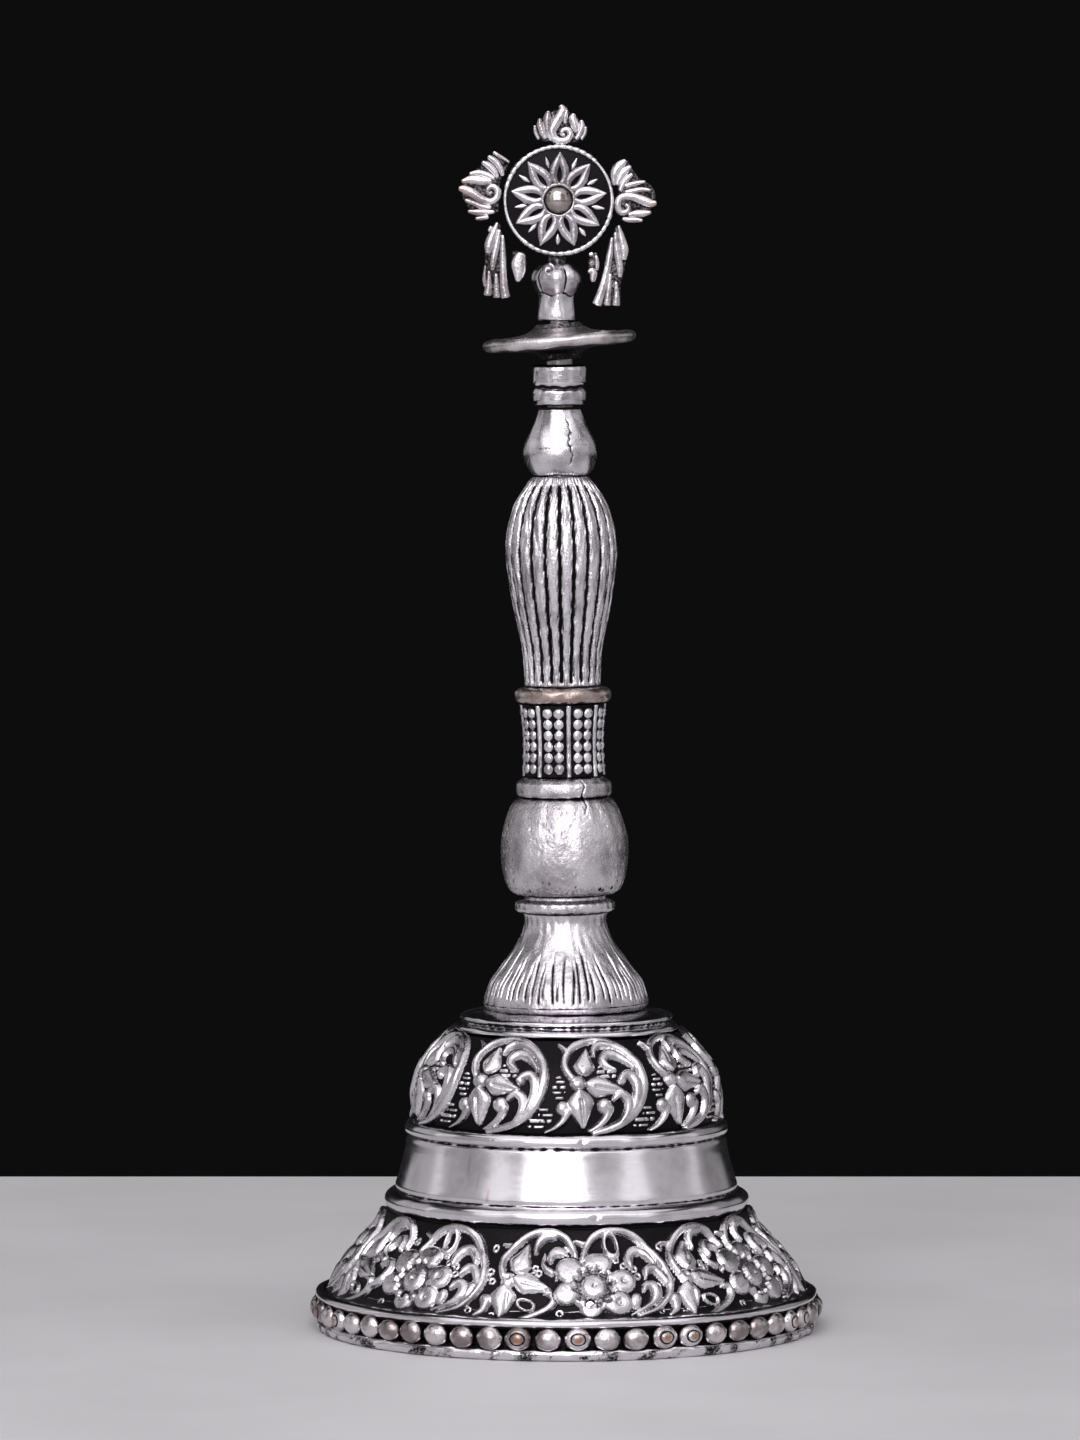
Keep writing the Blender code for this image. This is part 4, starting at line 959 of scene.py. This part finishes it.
def wheel(look):
    """A dark plate, a knurled wire on each face of its edge, and nine small tips between the petals."""
    plate = facing([(0.3, -0.85), (7.9, -0.85), (8.35, -0.6), (8.4, 0.0), (8.35, 0.6), (7.9, 0.85),
                    (0.3, 0.85)], 120)
    shape = Shape().add(plate.points[0], plate.faces, 0.0)
    cols, sides = 620, 14
    a = np.linspace(0, 2 * math.pi, cols, endpoint=False)
    t = np.linspace(0, 2 * math.pi, sides, endpoint=False)
    beads = np.abs(np.sin(a * 23 + 0.5 * np.sin(3 * a))) ** 0.6
    swell = 0.29 + 0.13 * beads * (0.5 + 0.5 * np.sin(2 * a + 2.2) > 0.25) + 0.03 * np.sin(5 * a)
    for side in (-1, 1):
        r = 8.26 + swell[:, None] * np.cos(t)
        y = side * 0.84 + swell[:, None] * np.sin(t)
        points = np.stack([r * np.sin(a)[:, None], y, r * np.cos(a)[:, None]], -1)
        shape.add(points, [grid_quads(cols, sides, True)], clamp(0.5 + beads).repeat(sides))
    for k in range(PETALS):
        angle = 2 * math.pi * (k + 0.5) / PETALS + RNG.uniform(-0.05, 0.05)
        low, high = 5.0 + RNG.uniform(-0.2, 0.3), 7.0 + RNG.uniform(-0.3, 0.25)
        for side in (-1, 1):
            path = np.array([[low, 0.25], [low + 0.6, 0.85], [low + 1.1, 0.75], [high, 0.25]])
            rows = [(d * math.sin(angle), side * 0.9, d * math.cos(angle), w, 0.5) for d, w in path]
            strand(curve(rows, 4), 10, shape, raised=0.75)
    tang = np.array([(-1.3, -0.7, -11.2), (1.3, -0.7, -11.2), (1.3, 0.7, -11.2), (-1.3, 0.7, -11.2),
                     (-1.3, -0.7, -8.0), (1.3, -0.7, -8.0), (1.3, 0.7, -8.0), (-1.3, 0.7, -8.0)])
    sides = np.array([(0, 3, 2, 1), (4, 5, 6, 7), (0, 1, 5, 4), (1, 2, 6, 5), (2, 3, 7, 6), (3, 0, 4, 7)])
    shape.add(tang, [sides], 0.3)
    on_wheel("wheel_rim_and_plate", "chakra_wheel", shape, look)


def rosette(look, side, node, name):
    """Nine pointed petals, each a bent strip with an open middle, round a collar."""
    shape = Shape()
    y = side * 1.5
    for k in range(PETALS):
        angle = 2 * math.pi * k / PETALS + RNG.uniform(-0.015, 0.015)
        tip = PETAL_TIP_R + RNG.uniform(-0.15, 0.1)
        for hand in (-1, 1):
            polar = [(2.5, 0.10, 0.8), (3.5, 0.25, 1.25), (4.6, 0.19, 1.35), (5.8, 0.085, 1.25),
                     (6.8, 0.02, 0.8), (tip, 0.0, 0.25)]
            rows = []
            for r, off, w in polar:
                turn = angle + hand * off
                rows.append((r * math.sin(turn), y, r * math.cos(turn), w, 0.72))
            strand(curve(rows, 5), 12, shape, tip=0.1)
    cols, sides = 96, 14
    a = np.linspace(0, 2 * math.pi, cols, endpoint=False)
    t = np.linspace(0, 2 * math.pi, sides, endpoint=False)
    r = 2.42 + 0.42 * np.cos(t)[None, :] + 0.03 * np.sin(7 * a)[:, None]
    points = np.stack([r * np.sin(a)[:, None], y + 0.36 * np.sin(t)[None, :] + 0 * r,
                       r * np.cos(a)[:, None]], -1)
    shape.add(points, [grid_quads(cols, sides, True)])
    on_wheel(name, node, shape, look)


def hub(look):
    arc = np.linspace(0, math.pi / 2 - 0.02, 14)
    dome = [(2.0 * math.cos(t), 2.15 + 1.15 * math.sin(t)) for t in arc]
    waist = [(1.9, -1.9), (0.9, -1.85), (0.9, 1.85), (1.9, 1.9)]
    profile = [(r, -z) for r, z in reversed(dome)] + waist + dome
    shape = facing(profile, 64)
    return build("hub_domes", shape, look, "bell", ["hub_rivet"], WHEEL)


def stem_frame():
    low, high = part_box("finial_stem")
    foot = Vector(((low.x + high.x) / 2, 0, low.z)) / MM
    middle = WHEEL.translation
    roll = math.atan2(middle.x - foot.x, middle.z - foot.z)
    return Matrix.Translation(foot) @ Matrix.Rotation(roll, 4, "Y")


def stem(look):
    """A lotus bud: a waisted foot, a belly of three blunt petals and a coin-like curl at the front."""
    core = [(0.3, 0.0), (2.7, 0.02), (2.95, 0.3), (2.9, 1.4), (2.7, 2.9), (2.75, 4.0), (3.3, 5.2),
            (3.7, 6.2), (3.55, 7.2), (2.9, 8.1), (2.2, 8.7), (0.3, 8.95)]
    p = even(curve(core, 8), 0.14)
    cols = 260
    a, z = azimuths(cols)[None, :], p[:, 1:2]
    belly = clamp((z - 3.6) / 1.5) * clamp((8.6 - z) / 1.0)
    lobes = 0.45 * (np.abs(np.cos(2.5 * a + 0.6)) ** 0.5 - 0.45) * belly
    seams = hill(np.cos(2.5 * a + 0.6), 0.14) * belly
    lumps = ripple((len(p), cols), 0.10, 9, 101)
    ledge = hill(z - 4.0 - 0.25 * np.sin(5 * a), 0.16) * (p[:, :1] > 2)
    raised = clamp(1 - 1.2 * seams - 0.9 * ledge - 0.6 * (z < 0.25) + lumps * 1.5)
    lift = (lobes + lumps - 0.12 * ledge) * clamp(p[:, :1] - 0.6)
    shape = turned(p, cols, np.clip(lift, -0.5, 0.35), raised)
    coil = [((1 - k / 30) * math.sin(k / 3.2), (1 - k / 30) * math.cos(k / 3.2)) for k in range(25)]
    rows = [(x - 1.3, -3.42 + 0.12 * (1 - math.hypot(x, z)), z + 7.7, 0.5, 0.5) for x, z in coil]
    strand(rows, 8, shape, tip=0.05)
    return build("lotus_stem", shape, look, "bell", ["finial_stem"], STEM)


# ---------------------------------------------------------------- hanging parts


def hanging_parts(brass, steel):
    bob_low, bob_high = span("clapper_bob")
    bob_r = (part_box("clapper_bob")[1].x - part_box("clapper_bob")[0].x) / 2 / MM
    mid = bob_low + bob_r
    arc = [(bob_r * math.cos(t), mid + bob_r * math.sin(t)) for t in np.linspace(-1.55, 1.18, 40)]
    neck = [(2.5, mid + bob_r * 0.94), (2.35, bob_high - 0.25), (2.1, bob_high), (1.4, bob_high)]
    build("clapper_ball", turned(arc + neck, 72), brass, "clapper", ["clapper_bob"],
          crease=SHARP_ANGLE)
    for node, look, slot in (("clapper_rod", brass, "clapper_brass"),
                             ("swivel_yoke", brass, "clapper_brass"),
                             ("yoke_pin", steel, "rod_steel"), ("tie_rod", steel, "rod_steel"),
                             ("crown_washer", steel, "rod_steel"), ("crown_nut", steel, "rod_steel")):
        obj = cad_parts[node]
        obj.data.materials.clear()
        obj.data.materials.append(look)
        bevel = obj.modifiers.new("edge", "BEVEL")
        bevel.width = EDGE_BEVEL * MM
        bevel.segments = 2
        bevel.limit_method = "ANGLE"
        bevel.angle_limit = math.radians(SHARP_ANGLE)


# ---------------------------------------------------------------- materials


class Nodes:
    """A short way to write a material's node tree."""

    def __init__(self, name):
        self.material = bpy.data.materials.new(name)
        self.material.use_nodes = True
        self.tree = self.material.node_tree
        self.shader = self.tree.nodes["Principled BSDF"]
        space = self.tree.nodes.new("ShaderNodeTexCoord")
        scale = self.tree.nodes.new("ShaderNodeVectorMath")
        scale.operation = "SCALE"
        scale.inputs["Scale"].default_value = 1000.0
        self.tree.links.new(space.outputs["Object"], scale.inputs[0])
        self.place = scale.outputs[0]

    def feed(self, socket, value):
        if isinstance(value, bpy.types.NodeSocket):
            self.tree.links.new(value, socket)
        elif isinstance(value, (tuple, list)) and len(value) == 3 and len(socket.default_value) == 4:
            socket.default_value = (*value, 1.0)
        else:
            socket.default_value = value

    def add(self, kind, inputs, **settings):
        node = self.tree.nodes.new("ShaderNode" + kind)
        for setting, value in settings.items():
            setattr(node, setting, value)
        for label, value in inputs.items():
            self.feed(node.inputs[label], value)
        return node

    def noise(self, scale, detail=4.0, rough=0.55, stretch=None):
        place = self.place
        if stretch:
            place = self.add("Mapping", {"Scale": stretch, "Vector": place}).outputs[0]
        inputs = {"Scale": scale, "Detail": detail, "Roughness": rough, "Vector": place}
        return self.add("TexNoise", inputs).outputs["Fac"]

    def math(self, operation, a, b=0.0, c=0.0):
        return self.add("Math", {0: a, 1: b, 2: c}, operation=operation).outputs[0]

    def ramp(self, value, low, high, to_low=0.0, to_high=1.0):
        inputs = {"Value": value, "From Min": low, "From Max": high, "To Min": to_low, "To Max": to_high}
        return self.add("MapRange", inputs, interpolation_type="SMOOTHSTEP").outputs["Result"]

    def mix(self, share, a, b):
        node = self.add("Mix", {"Factor": share}, data_type="RGBA")
        colours = [socket for socket in node.inputs if socket.type == "RGBA"]
        self.feed(colours[0], a)
        self.feed(colours[1], b)
        return [socket for socket in node.outputs if socket.type == "RGBA"][0]

    def bump(self, height, strength, distance, normal=None):
        inputs = {"Strength": strength, "Distance": distance * MM, "Height": height}
        if normal is not None:
            inputs["Normal"] = normal
        return self.add("Bump", inputs).outputs[0]

    def attribute(self, name):
        return self.add("Attribute", {}, attribute_name=name).outputs["Fac"]


SILVER = (0.73, 0.70, 0.745)
DULL = (0.40, 0.375, 0.40)
PATINA_AND_SHADE = (0.013, 0.012, 0.013)
COPPER = (0.42, 0.22, 0.12)
BRASS = (0.55, 0.41, 0.20)


def plated(name, bright=SILVER, dull=DULL, rough=0.24, grain=0.5, tarnish=(0.42, 0.68), wear=0.72,
           cut=(0.22, 0.55)):
    """Silvered casting: black in recesses and in the painted shade under the saucer and the ball, bright on
    what is raised, copper where it has rubbed through.
    """
    n = Nodes(name)
    cloud = n.noise(0.22, 5.0)
    fine = n.noise(2.4, 6.0, 0.65)
    speck = n.noise(1.1, 3.0)
    raised = n.math("ADD", n.attribute("raised"), n.math("MULTIPLY", n.math("SUBTRACT", fine, 0.5), 0.75))
    clean_and_unshaded = n.ramp(raised, *cut)
    colour = n.mix(n.ramp(cloud, *tarnish), bright, dull)
    colour = n.mix(n.ramp(speck, wear, wear + 0.05), colour, COPPER)
    colour = n.mix(n.ramp(n.noise(5.0, 4.0), 0.62, 0.72, 0.0, 0.55), colour, DULL)
    colour = n.mix(n.math("MULTIPLY", n.attribute("worn"), 0.8), colour, COPPER)
    # Black here is the casting's patina in its recesses, and also painted shade under the saucer and the
    # ball.
    colour = n.mix(clean_and_unshaded, PATINA_AND_SHADE, colour)
    n.feed(n.shader.inputs["Base Color"], colour)
    n.shader.inputs["Metallic"].default_value = 1.0
    shine = n.math("MULTIPLY_ADD", n.math("SUBTRACT", fine, 0.5), 0.30, rough)
    n.feed(n.shader.inputs["Roughness"], n.math("MAXIMUM", n.ramp(clean_and_unshaded, 0.0, 1.0, 0.55, 0.0), shine))
    lumps = n.bump(n.noise(0.9, 3.0), grain * 0.6, 0.25)
    n.feed(n.shader.inputs["Normal"], n.bump(fine, grain, 0.09, lumps))
    return n.material


def polished_band(name):
    """The cup's turned parts: near mirror with soft turning lines, copper scratches and black edges."""
    n = Nodes(name)
    cloud = n.noise(0.16, 4.0)
    fine = n.noise(2.6, 6.0, 0.65)
    lines = n.noise(1.0, 3.0, 0.5, (0.15, 0.15, 6.0))
    raised = n.math("ADD", n.attribute("raised"), n.math("MULTIPLY", n.math("SUBTRACT", fine, 0.5), 0.8))
    colour = n.mix(n.ramp(cloud, 0.45, 0.7), SILVER, (0.58, 0.55, 0.585))
    colour = n.mix(n.ramp(n.noise(0.42, 5.0, 0.7), 0.685, 0.72), colour, COPPER)
    colour = n.mix(n.math("MULTIPLY", n.attribute("worn"), 0.85), colour, COPPER)
    clean_and_unshaded = n.ramp(raised, 0.25, 0.5)
    n.feed(n.shader.inputs["Base Color"], n.mix(clean_and_unshaded, PATINA_AND_SHADE, colour))
    n.shader.inputs["Metallic"].default_value = 1.0
    shine = n.math("MULTIPLY_ADD", n.math("SUBTRACT", lines, 0.5), 0.22, 0.19)
    n.feed(n.shader.inputs["Roughness"], n.math("MAXIMUM", n.ramp(clean_and_unshaded, 0.0, 1.0, 0.5, 0.0), shine))
    n.feed(n.shader.inputs["Normal"], n.bump(lines, 0.10, 0.05, n.bump(fine, 0.10, 0.05)))
    return n.material


def plain_metal(name, colour, rough):
    n = Nodes(name)
    cloud = n.noise(0.35, 5.0)
    fine = n.noise(1.8, 5.0)
    darker = tuple(0.55 * c for c in colour)
    n.feed(n.shader.inputs["Base Color"], n.mix(n.ramp(cloud, 0.4, 0.68), colour, darker))
    n.shader.inputs["Metallic"].default_value = 1.0
    n.feed(n.shader.inputs["Roughness"], n.math("MULTIPLY_ADD", n.math("SUBTRACT", fine, 0.5), 0.35, rough))
    n.feed(n.shader.inputs["Normal"], n.bump(fine, 0.25, 0.06))
    return n.material


def matte(name, colour, rough):
    n = Nodes(name)
    soft = tuple(0.93 * c for c in colour)
    n.feed(n.shader.inputs["Base Color"], n.mix(n.ramp(n.noise(0.02, 3.0), 0.3, 0.7), colour, soft))
    n.shader.inputs["Roughness"].default_value = rough
    return n.material


# ---------------------------------------------------------------- studio


def panel(name, place, size, radiance):
    """A soft box facing the bell, placed in metres; radiance is what a mirror would show of it."""
    light = bpy.data.lights.new(name, "AREA")
    light.shape = "RECTANGLE"
    light.size, light.size_y = size
    light.energy = radiance * math.pi * size[0] * size[1]
    light.color = (1.0, 0.98, 1.0)
    obj = bpy.data.objects.new(name, light)
    obj.location = place
    obj.rotation_euler = (Vector(MIDDLE) - Vector(place)).to_track_quat("-Z", "Y").to_euler()
    bpy.context.scene.collection.objects.link(obj)
    return obj


def floor(look):
    half, back = 1.5, 0.2
    corners = [(-half, -half, 0), (half, -half, 0), (half, back, 0), (-half, back, 0)]
    mesh = bpy.data.meshes.new("table_top")
    mesh.from_pydata(corners, [], [(0, 1, 2, 3)])
    mesh.materials.append(look)
    obj = bpy.data.objects.new("table_top", mesh)
    bpy.context.scene.collection.objects.link(obj)


CAMERA_XY, CAMERA_HEIGHT = (-0.004, -1.10), 0.804      # metres, and shares of the bell's height
AIM_XY, AIM_HEIGHT = (-0.0041, 0.0), 0.4984
LENS, SENSOR = 177.2, 36.0
MIDDLE = (0.0, 0.0, 0.10)
SOFT_BOXES = (
    ("front", (-0.20, -1.25, 0.875), (1.0, 1.42), 3.5),
    ("front_wide", (0.0, -1.45, 0.85), (4.6, 1.7), 0.62),
    ("side_left", (-1.6, -0.45, 0.60), (2.2, 1.2), 0.42),
    ("side_right", (1.6, -0.45, 0.60), (2.2, 1.2), 0.50),
    ("behind_left", (-1.35, 0.80, 0.60), (1.4, 1.1), 0.45),
    ("behind_right", (1.35, 0.80, 0.60), (1.4, 1.1), 0.28),
    ("top", (0.0, -0.45, 1.5), (3.0, 1.6), 1.1),
)
DARK_ROOM = (0.004, 0.004, 0.0043, 1.0)


def camera():
    """Stands about a metre in front, level with the upper handle, and looks down a little at the middle."""
    low, high = SIZE_BEFORE
    height = high.z - low.z
    place = Vector((*CAMERA_XY, height * CAMERA_HEIGHT))
    aim = Vector((*AIM_XY, height * AIM_HEIGHT))
    data = bpy.data.cameras.new("camera")
    data.lens, data.sensor_width = LENS, SENSOR
    obj = bpy.data.objects.new("camera", data)
    obj.location = place
    obj.rotation_euler = (aim - place).to_track_quat("-Z", "Y").to_euler()
    bpy.context.scene.collection.objects.link(obj)
    bpy.context.scene.camera = obj


def studio():
    for soft_box in SOFT_BOXES:
        panel(*soft_box)
    world = bpy.data.worlds.new("studio")
    bpy.context.scene.world = world
    world.use_nodes = True
    world.node_tree.nodes["Background"].inputs["Color"].default_value = DARK_ROOM
    world.node_tree.nodes["Background"].inputs["Strength"].default_value = 1.0
    bpy.context.scene.view_settings.view_transform = "Standard"


HANDLE = handle_frame()
DISC = disc_frame()
WHEEL = wheel_frame()
STEM = stem_frame()


def main():
    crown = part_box("bell_cup")[1].z / MM
    relief_look = plated("cup_relief_silver", bright=(0.68, 0.65, 0.69), rough=0.25, grain=0.45)
    cup_dome(relief_look)
    cup_flare(relief_look)
    cup_beads(plated("cup_bead_silver", bright=(0.70, 0.66, 0.68), dull=(0.26, 0.22, 0.22), rough=0.2,
                     grain=0.5, wear=0.66, tarnish=(0.40, 0.60)))
    cup_wall(polished_band("cup_turned_silver"), crown)

    handle_look = plated("handle_cast_silver", bright=(0.68, 0.65, 0.69), rough=0.25, grain=0.9)
    grainy = plated("ball_grainy_silver", bright=(0.66, 0.63, 0.66), rough=0.27, grain=1.1, wear=0.69)
    skirt(handle_look)
    ball(grainy)
    sleeve(plated("sleeve_silver", rough=0.22, grain=0.3, wear=0.9))
    small_ring(plated("ring_silver", bright=(0.60, 0.53, 0.51), dull=(0.33, 0.27, 0.25), rough=0.3,
                      grain=0.5, wear=0.6))
    grip(plated("grip_silver", bright=(0.70, 0.67, 0.71), rough=0.25, grain=1.0, wear=0.7))
    pear(plated("pear_silver", rough=0.25, grain=0.4, wear=0.74))
    collar_piece(plated("collar_silver", rough=0.16, grain=0.2, wear=0.85))
    disc(plated("saucer_silver", bright=(0.72, 0.68, 0.70), dull=(0.40, 0.35, 0.34), rough=0.3, grain=0.6,
                wear=0.68, tarnish=(0.46, 0.70)))

    finial_look = plated("finial_silver", bright=(0.70, 0.67, 0.70), dull=(0.32, 0.28, 0.29), rough=0.18,
                         grain=0.3, wear=0.74)
    stem(plated("stem_silver", rough=0.2, grain=0.5, wear=0.75))
    wheel(plated("wheel_silver", rough=0.25, grain=0.3, wear=0.8))
    petal_look = plated("petal_silver", bright=(0.46, 0.43, 0.46), dull=(0.24, 0.22, 0.24), rough=0.18,
                        grain=0.35, wear=0.85)
    rosette(petal_look, -1, "chakra_rosette_front", "petals_front")
    rosette(petal_look, 1, "chakra_rosette_back", "petals_back")
    hub(plain_metal("hub_dark_brass", (0.38, 0.34, 0.32), 0.17))
    for make in (flame_top, flame_left, flame_right, ribbon_left, ribbon_right, scroll_left, scroll_right):
        make(finial_look)

    hanging_parts(plain_metal("clapper_brass_metal", BRASS, 0.34),
                  plain_metal("rod_steel_metal", (0.46, 0.45, 0.44), 0.36))
    floor(matte("table_pale", (0.62, 0.61, 0.63), 0.6))
    studio()
    camera()


main()
